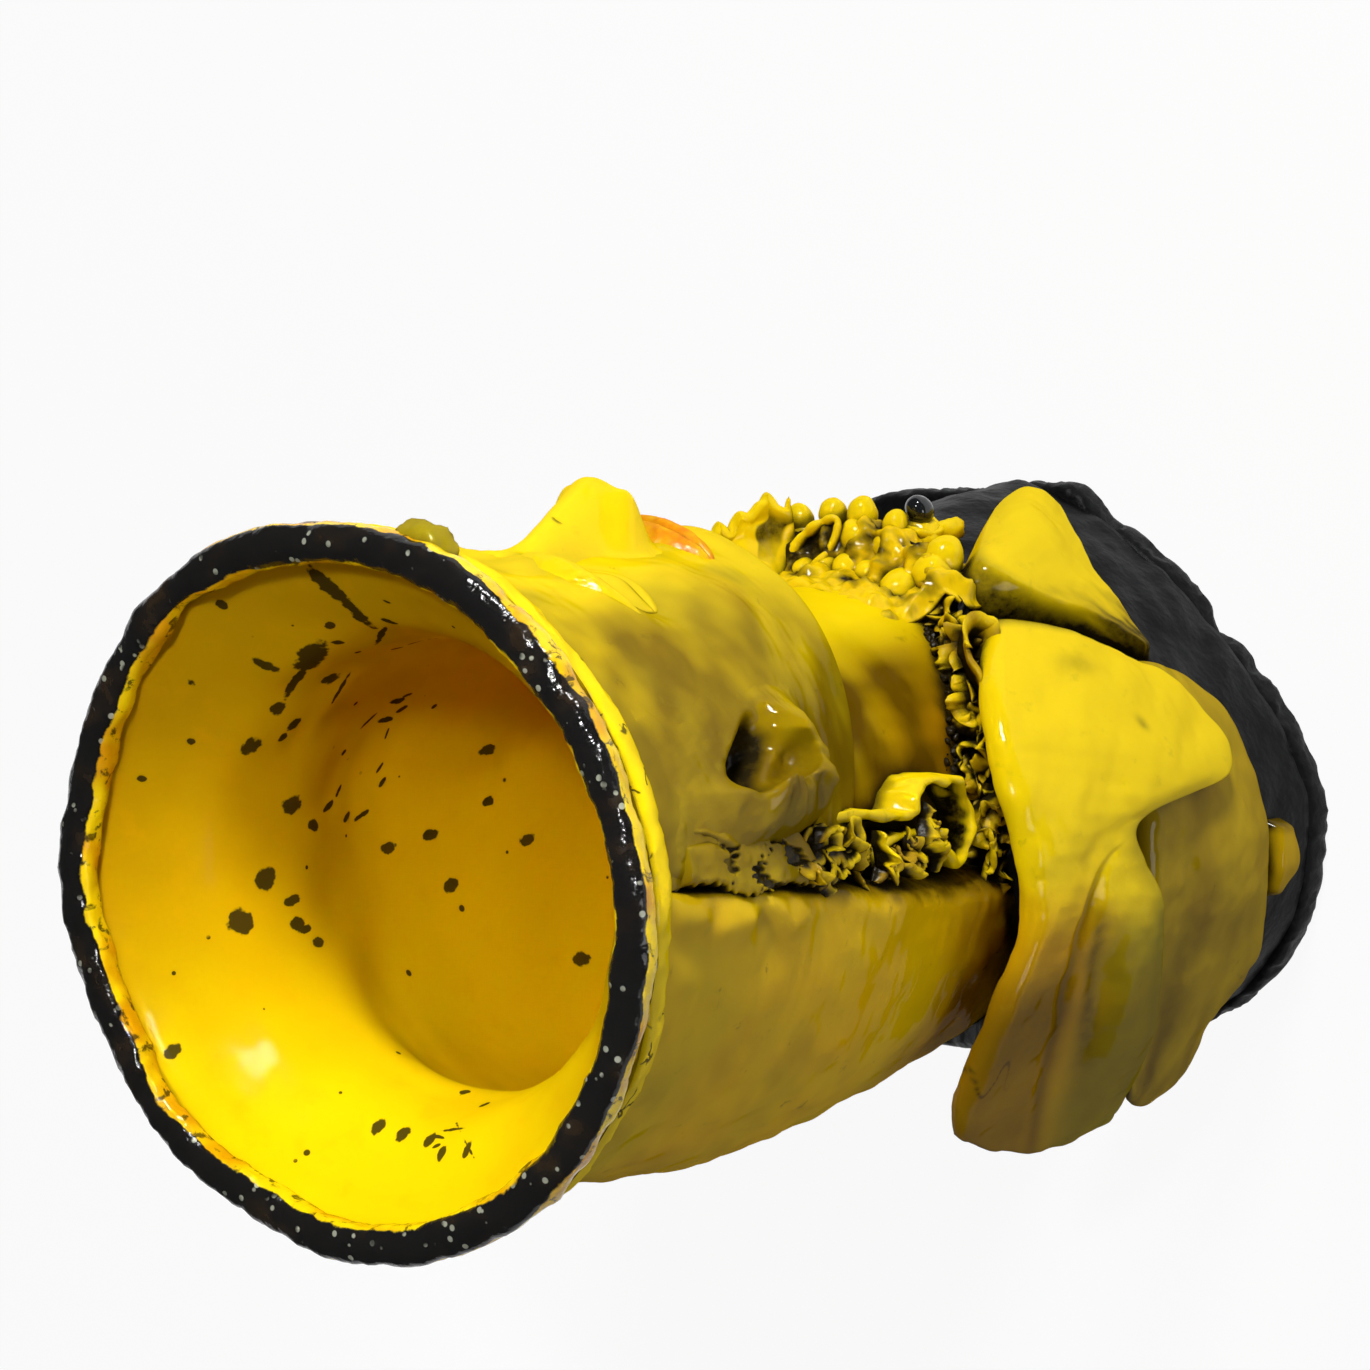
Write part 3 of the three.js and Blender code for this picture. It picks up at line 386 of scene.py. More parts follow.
def lumpShell(centre, out, size, length, seed, rings=14, sides=20, uneven=0.08, **marks):
    # a lump of clay with its long axis along `out`
    out = unit(np.asarray(out, float))
    across = unit(np.cross(out, [0.3, 0.2, 0.93]))
    up = np.cross(out, across)
    polar = np.linspace(0, math.pi, rings)[:, None]
    turn = circle(sides)[None, :]
    ball = (np.cos(polar) + 0 * turn)[..., None] * out * length
    ball = ball + (np.sin(polar) * np.cos(turn))[..., None] * across * size
    ball = ball + (np.sin(polar) * np.sin(turn))[..., None] * up * size
    ball = ball * (1 + uneven * wander(ball + np.asarray(centre), size * 2.2, seed))[..., None]
    return Shell(ball + np.asarray(centre), gridQuads(rings, sides, wrapColumns=True),
                 **{mark: np.full(rings * sides, value) for mark, value in marks.items()})


# Glazes

def paint(red, green, blue):  # a screen colour, 0 to 255, as linear light
    def linear(value):
        value /= 255
        return value / 12.92 if value <= 0.04045 else ((value + 0.055) / 1.055) ** 2.4
    return (linear(red), linear(green), linear(blue), 1.0)


class Wire:  # one output socket, with sums written as sums
    def __init__(self, nodes, socket):
        self.nodes, self.socket = nodes, socket

    def __add__(self, other):
        return self.nodes.maths("ADD", self, other)

    def __sub__(self, other):
        return self.nodes.maths("SUBTRACT", self, other)

    def __rsub__(self, other):
        return self.nodes.maths("SUBTRACT", other, self)

    def __mul__(self, other):
        return self.nodes.maths("MULTIPLY", self, other)

    __radd__ = __add__
    __rmul__ = __mul__

    def orMore(self, other):  # the larger of the two
        return self.nodes.maths("MAXIMUM", self, other)

    def over(self, low, high):  # a soft step from 0 at `low` to 1 at `high`
        return self.nodes.add("ShaderNodeMapRange", {"interpolation_type": "SMOOTHSTEP"}, {
            "Value": self, "From Min": low, "From Max": high})


class Nodes:  # a node tree, with one method that every node comes from
    def add(self, kind, settings=None, sockets=None, out=0):
        node = self.tree.nodes.new(kind)
        for setting, value in (settings or {}).items():
            setattr(node, setting, value)
        for socket, value in (sockets or {}).items():
            target = node.inputs[socket]
            if isinstance(value, Wire):
                self.tree.links.new(value.socket, target)
            else:
                target.default_value = value
        return Wire(self, node.outputs[out]) if len(node.outputs) else None

    def maths(self, operation, *values):
        return self.add("ShaderNodeMath", {"operation": operation}, dict(enumerate(values)))


class Glaze(Nodes):
    def __init__(self, name):
        self.material = bpy.data.materials.new(name)
        self.material.use_nodes = True
        self.tree = self.material.node_tree
        self.tree.nodes.clear()
        self.place = self.add("ShaderNodeTexCoord", out="Object")

    def noise(self, size, detail=3.0, roughness=0.5, distortion=0.0):  # size in mm from hump to hump
        return self.add("ShaderNodeTexNoise", None, {
            "Vector": self.place, "Scale": 1 / (size * mm), "Detail": detail, "Roughness": roughness,
            "Distortion": distortion})

    def blend(self, share, first, second):
        return self.add("ShaderNodeMix", {"data_type": "RGBA", "clamp_factor": True}, {
            0: share, 6: first, 7: second}, out=2)

    def mark(self, name):  # a tone set on the piece's points
        return self.add("ShaderNodeAttribute", {"attribute_name": name}, out="Fac")

    def crevice(self, reach, samples=6):  # 1 in the open, towards 0 in hollows narrower than `reach` mm
        return self.add("ShaderNodeAmbientOcclusion", {"samples": samples}, {"Distance": reach * mm}, out="AO")

    def drift(self, amount, size, *grain):  # noise that swings evenly to both sides of 0
        return (self.noise(size, *grain) - 0.5) * amount

    def hollowShade(self, reach, fine, low, high, fray=0.3):  # 1 in hollows narrower than `reach` mm: painted shade from the occlusion
        return 1 - (self.crevice(reach) + (fine - 0.5) * fray).over(low, high)

    def shape(self, axis):  # one coordinate in mm
        return self.add("ShaderNodeSeparateXYZ", None, {0: self.place}, out=axis) * (1 / mm)

    def spots(self, size, reach):  # rounded specks in random places, 1 inside
        cell = self.add("ShaderNodeTexVoronoi", None, {"Vector": self.place, "Scale": 1 / (size * mm)})
        return 1 - cell.over(reach * 0.75, reach)

    def cracks(self, size, width, share):  # short broken hairlines
        reach = size * 0.5 * mm
        shift = self.add("ShaderNodeTexNoise", None, {"Vector": self.place, "Scale": 1 / reach}, out=1)
        shift = self.add("ShaderNodeVectorMath", {"operation": "SCALE"}, {0: shift, "Scale": reach})
        bent = self.add("ShaderNodeVectorMath", {"operation": "ADD"}, {0: self.place, 1: shift})
        line = self.add("ShaderNodeTexVoronoi", {"feature": "DISTANCE_TO_EDGE"}, {
            "Vector": bent, "Scale": 1 / (size * mm)})
        return (1 - line.over(width * 0.4, width)) * self.noise(size * 0.9, 1.0).over(1 - share, 1.04 - share)

    def finish(self, colour, roughness, bump, mirror, specular=0.0):  # the bump's height is in mm
        # a thin even mirror over the colour keeps the pale floor from greying walls that are seen edge-on
        normal = self.add("ShaderNodeBump", None, {"Height": bump, "Strength": 1.0, "Distance": mm})
        coloured = self.add("ShaderNodeBsdfPrincipled", None, {
            "Base Color": colour, "Roughness": roughness, "Normal": normal, "Specular IOR Level": specular,
            "IOR": 1.5})
        shine = self.add("ShaderNodeBsdfPrincipled", None, {
            "Base Color": (1, 1, 1, 1), "Metallic": 1.0, "Roughness": roughness, "Normal": normal})
        shader = self.add("ShaderNodeMixShader", None, {0: mirror, 1: coloured, 2: shine})
        self.add("ShaderNodeOutputMaterial", None, {"Surface": shader})
        return self.material


glossy = 0.015
# the dark stain and burnt tones, gold and olive also serve as painted shade where the marks and the occlusion
# put them
tones = {name: paint(*colour) for name, colour in {  # glaze colours as they show on screen
    "bright": (246, 212, 8), "olive": (158, 142, 22), "amber": (222, 160, 4), "deep": (244, 181, 4),
    "stain": (36, 29, 12), "black": (20, 19, 18), "orange": (226, 132, 16), "brown": (70, 50, 8),
    "speck": (206, 208, 186), "ochre": (176, 140, 12), "honey": (240, 196, 4), "burnt": (104, 76, 3),
    "gold": (182, 140, 3), "within": (236, 188, 4), "flare": (230, 197, 4), "umber": (54, 40, 22),
    "coal": (9, 9, 10), "slate": (25, 26, 29), "jet": (12, 13, 14), "steel": (34, 40, 46),
}.items()}


def yellowGlaze(name, base="bright", reach=6.0, crackSize=16.0, crackShare=0.25, smudges=0.35,
                toneSpread=0.6, bumps=1.0):
    # bright where it lies thick, olive and amber where it thins and where the marks paint shade; painted shade
    # in the stain colour darkens every hollow
    glaze = Glaze(name)
    broad = glaze.noise(38, 2.0)
    fine = glaze.noise(3.2, 5.0, 0.62)
    colour = glaze.blend(glaze.mark("olive") * 0.9 + (broad - 0.5) * toneSpread, tones[base], tones["olive"])
    colour = glaze.blend(glaze.mark("amber") + (glaze.noise(17, 3.0) - 0.56) * 0.5, colour, tones["amber"])
    colour = glaze.blend(glaze.mark("burnt") * (0.8 + (broad - 0.5) * 0.6), colour, tones["burnt"])
    colour = glaze.blend(glaze.noise(7, 4.0, 0.6).over(0.6, 0.85) * 0.35, colour, tones["olive"])
    smudge = glaze.noise(11, 4.0, 0.65, distortion=0.6).over(0.63, 0.76) * fine.over(0.35, 0.6) * smudges
    # painted shade: every hollow narrower than `reach` mm darkens towards the stain colour
    hollowShade = glaze.hollowShade(reach, fine, 0.28, 0.74, 0.35)
    crack = glaze.cracks(crackSize, 0.035, crackShare)
    # the stain mark carries real stains, cracks and marks, and on many pieces painted shade in hollows and
    # creases
    stainedAndShaded = glaze.mark("stain") * (0.55 + fine * 0.9)
    colour = glaze.blend(smudge + hollowShade * 0.9 + crack * 0.85 + stainedAndShaded, colour, tones["stain"])
    roughness = 0.05 + fine * 0.07 + hollowShade * 0.3
    bump = (glaze.noise(19, 1.0) * 1.3 + glaze.noise(6, 2.0) * 0.1 + fine * 0.02) * bumps - crack * 0.25
    return glaze.finish(colour, roughness, bump, glossy)


splatter = [  # dark spots thrown on the inside: degrees from the front, height, radius, how far they ran down
    (63, 306, 3.1, 1.0), (40, 313, 1.8, 1.8), (52, 303, 2.3, 1.1), (61, 297, 1.5, 1.2),
    (57, 295, 2.2, 1.1), (41, 293, 2.5, 1.1), (88, 278, 1.8, 1.3), (81, 287, 2.8, 1.3),
    (99, 296, 3.1, 1.2), (108, 306, 3.6, 1.0), (112, 289, 2.0, 1.6), (118, 284, 1.8, 1.3),
    (113, 225, 2.2, 1.5), (98, 231, 1.7, 2.0), (99, 247, 1.7, 2.0), (76, 211, 1.8, 2.0),
    (92, 209, 1.5, 1.7), (106, 195, 1.7, 2.0), (141, 185, 2.4, 1.6), (128, 328, 1.9, 1.1),
    (172, 312, 1.8, 1.2), (179, 312, 1.8, 1.2), (-173, 313, 1.7, 1.2), (-168, 316, 1.3, 1.5),
    (-161, 316, 1.2, 1.7), (65, 318, 1.1, 1.0), (52, 323, 1.2, 1.0), (33, 328, 1.4, 1.0),
    (75, 325, 1.0, 1.0), (-179, 290, 1.4, 1.5), (-167, 298, 1.4, 1.8), (158, 332, 1.2, 1.0),
    (56, 254, 1.2, 3.2), (62, 255, 1.1, 3.0), (106, 289, 1.5, 2.0), (114, 287, 1.4, 2.2),
]
strokes = [  # drips and flung flecks: degrees and height of one end, then of the other, and the half width
    (11.6, 329, 9, 316, 3.0), (9.4, 324, 10.2, 307, 2.5), (39, 304.6, 25, 309.8, 4.2),
    (49, 302.6, 35, 305.6, 1.8), (21, 312.3, 18, 313.6, 1.5), (24, 308.6, 22.6, 305, 1.3),
    (23, 294.8, 5.6, 309.8, 1.0), (0.3, 319.2, -2.4, 317.6, 0.9), (5.4, 312.6, 1.5, 310.6, 1.4),
    (-3.3, 312.1, 19, 275.2, 1.1), (9.5, 288.9, 40, 243.2, 1.2), (51.1, 285.6, 36.9, 288.7, 0.8),
    (24.9, 286.6, 22.8, 284, 0.9), (20.5, 285, 15.2, 283.8, 1.2), (54.8, 254.6, 54.2, 247.6, 0.9),
    (60, 252.8, 58.4, 248.4, 0.9), (63.6, 265.2, 58.5, 260, 0.7), (71.2, 268.6, 69.1, 267.1, 1.0),
    (73.4, 266.8, 71.6, 262.6, 0.6), (78.3, 251.9, 75.2, 249.9, 0.6), (82.8, 250.6, 79.6, 247.8, 0.8),
    (85.3, 273.5, 83.2, 268.5, 1.1), (82.6, 267.8, 79, 265.3, 0.7), (89.6, 264.9, 87.2, 261, 1.1),
    (90.1, 260.9, 87.6, 252.8, 0.9), (59.9, 239, 59.1, 236.6, 0.8), (54.5, 248.8, 49.6, 247.5, 0.5),
    (68.7, 252.2, 64.4, 252.5, 0.5), (-172.6, 310.2, -164.5, 310.2, 0.7),
    (-171.6, 314.8, -169.3, 313.8, 0.8), (-169.7, 306.7, -157.9, 318.8, 0.6),
    (-173.8, 311.5, -168.9, 312.6, 0.6),
]


def vesselGlaze():
    glaze = Glaze("poured yellow glaze")
    height = glaze.shape("Z")
    broad = glaze.noise(34, 2.0)
    fine = glaze.noise(2.6, 4.0, 0.6)
    depth = 1 - (height + (broad - 0.5) * 80).over(215, 335)
    # painted shade: the front wall inside the mouth, turned away from the key light, is darker gold
    front = 1 - (glaze.shape("Y") + (broad - 0.5) * 60).over(0, 72)
    within = glaze.blend(depth, glaze.blend(front * 0.95, tones["flare"], tones["gold"]), tones["within"])
    within = glaze.blend((1 - height.over(60, 210)) * 0.8, within, tones["deep"])
    within = glaze.blend(glaze.noise(9, 3.0).over(0.52, 0.8) * 0.25, within, tones["amber"])
    drops = glaze.spots(15, 0.075) * glaze.noise(34, 1.0).over(0.46, 0.5)
    drops = drops.orMore(glaze.spots(8, 0.08) * glaze.noise(24, 1.0).over(0.56, 0.6))
    wobble = glaze.drift(0.9, 2.2, 2.0)
    ends = [(angle, up + radius * run, angle, up - radius * run, radius) for angle, up, radius, run in splatter]
    for angle, up, lastAngle, lastUp, radius in ends + strokes:
        first, last = (Vector(bore.place(math.radians(turn), min(h, lipHeight + 2))) * mm
                       for turn, h in ((angle, up), (lastAngle, lastUp)))
        along = last - first
        half = radius * mm
        away = glaze.add("ShaderNodeMapping", {"vector_type": "TEXTURE"}, {
            "Vector": glaze.place, "Location": (first + last) / 2,
            "Rotation": along.to_track_quat("Z", "Y").to_euler(),
            "Scale": (half, half, max(along.length / 2, half))})
        distance = glaze.add("ShaderNodeVectorMath", {"operation": "LENGTH"}, {0: away}, out="Value")
        drops = drops.orMore(1 - (distance + wobble).over(0.78, 1.0))
    within = glaze.blend(drops * 0.93, within, tones["stain"])
    outside = glaze.blend(glaze.mark("amber") + (broad - 0.5) * 0.5, tones["bright"], tones["amber"])
    outside = glaze.blend(glaze.mark("burnt"), outside, tones["burnt"])
    # painted shade: hollows on the outside darken by the occlusion
    hollowShade = glaze.hollowShade(9, fine, 0.3, 0.78)
    smudge = glaze.noise(12, 4.0, 0.65).over(0.62, 0.78) * 0.35
    outside = glaze.blend(hollowShade * 0.9 + smudge + glaze.mark("stain"), outside, tones["stain"])
    colour = glaze.blend(glaze.mark("inside"), outside, within)
    bump = broad * 1.6 + glaze.noise(12, 1.0) * 0.5 + fine * 0.02
    return glaze.finish(colour, 0.12 + fine * 0.08 + hollowShade * 0.2, bump, glossy / 4)


def ruffGlaze():  # yellow only along the raised edges; the black under them is painted shade from the occlusion
    glaze = Glaze("stained ruff glaze")
    fine = glaze.noise(1.8, 4.0, 0.6)
    # painted shade: openness falls in the hollows under and between the curls
    openness = glaze.crevice(7) + (fine - 0.5) * 0.4 + glaze.drift(0.5, 9, 2.0)
    ridge = glaze.mark("ridge") + glaze.drift(0.9, 6, 3.0)
    yellow = glaze.blend(glaze.noise(12, 2.0).over(0.35, 0.65), tones["bright"], tones["ochre"])
    colour = glaze.blend(openness.over(0.32, 0.78) * ridge.over(0.28, 0.8), tones["stain"], yellow)
    bump = glaze.noise(3.4, 3.0) * 0.5 + fine * 0.1
    return glaze.finish(colour, 0.2 + fine * 0.2, bump, glossy)


def rimGlaze():  # black pooled on the top of the coil, yellow left below its uneven edge
    glaze = Glaze("pooled black glaze")
    fine = glaze.noise(1.6, 4.0, 0.6)
    pale = glaze.spots(3.6, 0.24) * glaze.noise(9, 2.0).over(0.47, 0.56)
    brown = glaze.noise(10, 3.0).over(0.5, 0.72) * 0.5
    colour = glaze.blend(brown, tones["black"], tones["umber"])
    colour = glaze.blend(pale * 0.5, colour, tones["speck"])
    dashes = glaze.noise(4, 4.0, 0.6, distortion=0.5).over(0.56, 0.66)
    side = glaze.blend(glaze.noise(15, 2.0).over(0.4, 0.66), tones["bright"], tones["amber"])
    side = glaze.blend(dashes * 0.85, side, tones["stain"])
    pool = (glaze.mark("pool") + glaze.drift(3.4, 8, 4.0, 0.6)).over(-0.25, 0.25)
    colour = glaze.blend(pool, side, colour)
    bump = glaze.noise(5, 3.0) * 0.9 + fine * 0.08
    return glaze.finish(colour, 0.08 + fine * 0.12, bump, glossy, 0.2)


def clayGlaze():
    glaze = Glaze("satin black clay")
    fine = glaze.noise(1.4, 5.0, 0.65)
    worn = glaze.noise(22, 3.0).over(0.45, 0.75)
    colour = glaze.blend(worn * 0.6 + fine * 0.3, tones["coal"], tones["slate"])
    colour = glaze.blend(glaze.mark("stain") * 0.8, colour, tones["brown"])
    bump = glaze.noise(12, 3.0) * 1.0 + glaze.noise(3, 4.0) * 0.25 + fine * 0.1
    return glaze.finish(colour, 0.34 + fine * 0.22, bump, glossy / 3, 0.05)


def lipGlaze():
    glaze = Glaze("orange lip glaze")
    fine = glaze.noise(2.4, 4.0, 0.6)
    # painted shade: hollows darken by the occlusion
    hollowShade = glaze.hollowShade(4, fine, 0.3, 0.75)
    colour = glaze.blend(glaze.noise(9, 3.0).over(0.4, 0.7) * 0.6, tones["orange"], tones["bright"])
    colour = glaze.blend(hollowShade * 0.9, colour, tones["stain"])
    return glaze.finish(colour, 0.15 + fine * 0.1, glaze.noise(5, 3.0) * 0.4, glossy)


def beadGlaze():
    glaze = Glaze("black bead glaze")
    fine = glaze.noise(2.0, 3.0)
    colour = glaze.blend(fine * 0.4, tones["jet"], tones["steel"])
    return glaze.finish(colour, 0.05 + fine * 0.06, glaze.noise(5, 2.0) * 0.4, 0.03, 0.3)


headGlaze = yellowGlaze("head yellow glaze", reach=7, toneSpread=0.5)
drapeGlaze = yellowGlaze("drape yellow glaze", crackSize=22, crackShare=0.16, smudges=0.25, toneSpread=0.3)
hoodGlaze = yellowGlaze("hood ochre glaze", "honey", 8, crackShare=0.12, smudges=0.55, toneSpread=0.4,
                        bumps=0.8)
trimGlaze = yellowGlaze("trim yellow glaze", reach=7, crackShare=0.2, toneSpread=0.5)
bandGlaze = yellowGlaze("lip band glaze", reach=5, crackSize=9, crackShare=0.42, smudges=0.5)
innerGlaze = vesselGlaze()
foldGlaze = ruffGlaze()
edgeGlaze = rimGlaze()
satinClay = clayGlaze()
warmGlaze = lipGlaze()
beadBlack = beadGlaze()
print("glazes mixed")


# The turned vessel with its rim

vesselBody = {"turns": 288, "outside": 92, "inside": 100, "waver": 0.8, "fingerMarks": 0.12}


def makeVesselBody(v):
    turn = turns(v["turns"])
    up = np.linspace(vesselBottom, lipHeight, v["outside"])[None, :]
    down = np.linspace(lipHeight, floorHeight, v["inside"])[None, :]
    outer = vessel.place(turn, up)
    outer = vessel.place(turn, up, -v["waver"] * (0.5 + 0.5 * wander(outer, 50, 1)))
    inner = bore.place(turn, down)
    marks = v["fingerMarks"] * np.cos(down * 0.55 + 2.5 * np.sin(turn) + 1.5 * np.sin(2 * turn + 1))
    inner = bore.place(turn, down, v["waver"] * wander(inner, 55, 2, 2) + marks)
    under, floor = poles([(0, 0, vesselBottom), (0, 0, floorHeight)], v["turns"])
    section = np.concatenate([under, outer, inner, floor], axis=1)
    inside = np.zeros(section.shape[:2])
    inside[:, 1 + v["outside"]:] = 1
    x, y, h = section[..., 0], section[..., 1], section[..., 2]
    aside = rise(0.45, 1.25, np.abs(np.arctan2(x, -y)))
    amber = aside * rise(205, 150, h) * 0.9
    # painted shade: dark at the foot of the neck where it goes into the collar, and round the hollow inside
    # each neck scroll
    foot = rise(128, 106, h + 5 * wander(section, 14, 3)) * 0.9
    scrolls = sum(swell(np.linalg.norm(section - vessel.place(side * 1.62, body["neckTop"] + 22), axis=-1), 15)
                  for side in (-1, 1))
    stain = bounded(foot + scrolls * 1.2)
    # painted shade: the neck grows darker towards its sides
    burnt = 0.95 * rise(0.4, 1.05, np.abs(np.arctan2(x, -y))) * (1 + 0.2 * wander(section, 30, 4))
    return turnedShell(section, False, inside=inside, amber=amber, burnt=burnt, stain=stain)


rimCoil = {"turns": 400, "corners": 28, "waver": 1.3, "knobs": 0.3, "dripAngle": -171, "dripSize": 3.2,
           "pooled": 2.4}


def makeRimCoil(v):
    turn = turns(v["turns"])
    corner = circle(v["corners"])[None, :]
    squash = (np.abs(np.cos(corner)) ** 2.6 + np.abs(np.sin(corner)) ** 2.6) ** (-1 / 2.6)
    ring = body["mouthRadius"] - body["rimWidth"] / 2
    middle = fromAxis(ring, turn, 0)
    sway = v["waver"] * (0.9 - np.clip(wander(middle, 60, 4, 2), -0.9, 0.9))
    thick = 1 + 0.1 * wander(middle, 30, 5, 2)
    halfWidth, halfHeight = body["rimWidth"] / 2, body["rimHeight"] / 2
    flat, steep = np.cos(corner), np.sin(corner)
    out = ring - sway * 0.7 + flat * squash * (halfWidth + 0.5) * np.minimum(thick, 1.02)
    up = body["height"] - halfHeight - 0.3 - 0.5 * sway + steep * squash * halfHeight * np.minimum(thick, 1.0)
    section = fromAxis(out, turn, up)
    knob = v["knobs"] * (wander(section, 9, 6) - 1.2)
    section = section + fromAxis(flat, turn, steep) * knob[..., None]
    drip = math.radians(v["dripAngle"])
    low = drum(body["mouthRadius"] - 4).place(drip, lipHeight - 1)
    pool = squash * (steep * halfHeight + 0.8 * flat) - v["pooled"] + 0.6 * wander(section, 26, 7)
    return [turnedShell(section, pool=pool), lumpShell(
        low, fromAxis(1, drip, -0.9), v["dripSize"], v["dripSize"] * 1.5, 7, pool=-1)]


lipBand = {"turns": 300, "reach": 3.4, "height": 12, "waver": 0.7}


def makeLipBand(v):
    turn = turns(v["turns"])
    low = body["slabTop"] + body["creaseGap"]
    across = np.linspace(0, 1, 16)[None, :]
    full = body["mouthRadius"] - v["reach"]
    bulge = curveThrough([
        (0, throatWall + 6), (0.12, throatWall + 10), (0.5, full), (0.85, full + 0.6), (1, full - 2)])
    ring = Surface(lambda angle, h: bulge((h - low) / (v["height"] + 4)))
    height = low - 1 + across * (v["height"] + 4)
    outer = ring.place(turn, height)
    wave = v["waver"] * (wander(outer, 26, 8) - 0.6) + 0.3 * wander(outer, 6, 9)
    outer = ring.place(turn, height + 0.9 * wander(outer * [1, 1, 0], 30, 10), np.minimum(wave, 0.3))
    inner = Surface(lambda angle, h: vessel.radius(angle, h) - 2).place(turn, height[:, ::-1] + 0 * turn)
    section = np.concatenate([outer, inner], axis=1)
    return turnedShell(section)


rimPellet = {"angle": -14.5, "size": 5.4, "length": 8.6}


def makeRimPellet(v):
    angle = math.radians(v["angle"])
    along = [math.cos(angle), math.sin(angle), 0.15]
    middle = drum(body["mouthRadius"] - 3).place(angle, lipHeight - 1.5)
    second = drum(body["mouthRadius"] - 3.4).place(angle + 0.07, lipHeight - 3.5)
    return [lumpShell(middle, along, v["size"], v["length"], 11, 22, 32, 0.16, stain=0.35, olive=0.9),
            lumpShell(second, along, v["size"] * 0.7, v["length"] * 0.5, 12, 18, 26, 0.2, stain=0.5, olive=0.9)]


makePiece("vesselBody", makeVesselBody(vesselBody), innerGlaze, ["vessel_body"])
makePiece("rimCoil", makeRimCoil(rimCoil), edgeGlaze, ["rim_coil"])
makePiece("lipBand", makeLipBand(lipBand), bandGlaze, ["lip_band"])
makePiece("rimPellet", makeRimPellet(rimPellet), trimGlaze, ["rim_pellet"])
print("vessel turned and rimmed")


# The head: a mask slab over the front and a hood slab over the back, which meet in a crease at each side

face = {  # set out by thirds between hairline and chin
    "chin": 182, "hairline": 318, "eyeSpacing": 52, "eyeWidth": 27, "noseReach": 19,
    "mouthWidth": 46, "lipFullness": 5, "jawRise": 32,
}
third = (face["hairline"] - face["chin"]) / 3
browHeight = face["hairline"] - third
noseHeight = browHeight - third
eyeHeight = browHeight - third / 4
mouthHeight = noseHeight - third / 3
eyeX = face["eyeSpacing"] / 2

maskSide = curveThrough([
    (face["chin"], body["maskHalfWidth"] - 21), (noseHeight, body["maskHalfWidth"] - 6),
    (eyeHeight - 8, body["maskHalfWidth"]), (body["slabTop"], body["maskHalfWidth"] + 3)])
maskDepth = curveThrough([
    (face["chin"], body["maskFront"] - 3), (mouthHeight, body["maskFront"] - 1),
    (browHeight, body["maskFront"] + 1), (body["slabTop"], body["maskFront"] + 4)])


faceForms = [  # how far a form stands out, its place and width across, its place and width upwards
    (3, eyeX * 0.8, 24, browHeight + 3, 8), (-7, eyeX, face["eyeWidth"] * 0.5, eyeHeight, 9),
    (5.5, eyeX, face["eyeWidth"] * 0.33, eyeHeight - 1, 6.5), (3.5, eyeX * 1.6, 17, noseHeight + 8, 15),
    (3, 0, face["mouthWidth"] * 0.48, mouthHeight, 13), (4.5, 0, 16, face["chin"] + 9, 10),
    (-2.5, 0, 13, mix(face["chin"], mouthHeight, 0.6), 5),
]


def faceRelief(angle, h):
    x = np.abs(angle) * body["maskFront"]
    return sum(out * swell(x - across, wide) * swell(h - up, tall) for out, across, wide, up, tall in faceForms)


mask = Surface(lambda angle, h: oval(
    angle, maskSide(h), maskDepth(h), maskSide(h), 2.15) + faceRelief(angle, h))


def headTones(points, angle, h):  # olive in the eye hollows, and olive and dark burnt tone growing towards the sides: painted shade, the same on every slab of the head
    x = np.abs(angle) * body["maskFront"]
    olive = 0.75 * swell(x - eyeX, 22) * swell(h - eyeHeight, 20) + 0.5 * rise(0.5, 1.2, np.abs(angle))
    burnt = (0.14 + 0.8 * rise(0.3, 0.85, np.abs(angle))) * (1 + 0.22 * wander(points, 34, 12))
    return {"olive": bounded(olive + 0.35 * wander(points, 40, 14)), "burnt": bounded(burnt)}


headMask = {"columns": 240, "rows": 168, "jawShare": 0.13, "edgeRound": 5, "unevenness": 0.35}
ear = {
    "columns": 130, "rows": 160, "from": 50, "to": 86, "low": 226, "high": 312, "hole": (66.6, 266.5),
    "holeLength": 10, "holeWidth": 5, "depth": 10, "reach": 12, "inside": 3.0, "outside": 9, "curl": 5,
    "lump": (76.5, 246), "pit": (74.5, 244.5), "crest": [  # degrees, height
        (61.5, 258), (63, 252.5), (66, 248), (70.5, 247.5), (74.3, 252), (75.6, 260), (75, 268), (73.6, 277),
        (72, 288), (70.5, 298)]}
degree = body["maskHalfWidth"] * math.pi / 180  # mm along the side of the head


def earHollow(v, turn, h):  # 1 in the middle of the slanting hole, 0 outside it
    across, up = (turn - v["hole"][0]) * degree, h - v["hole"][1]
    along, over = 0.54 * across + 0.84 * up, 0.84 * across - 0.54 * up
    return np.exp(-((along / v["holeLength"]) ** 4 + (over / v["holeWidth"]) ** 4))


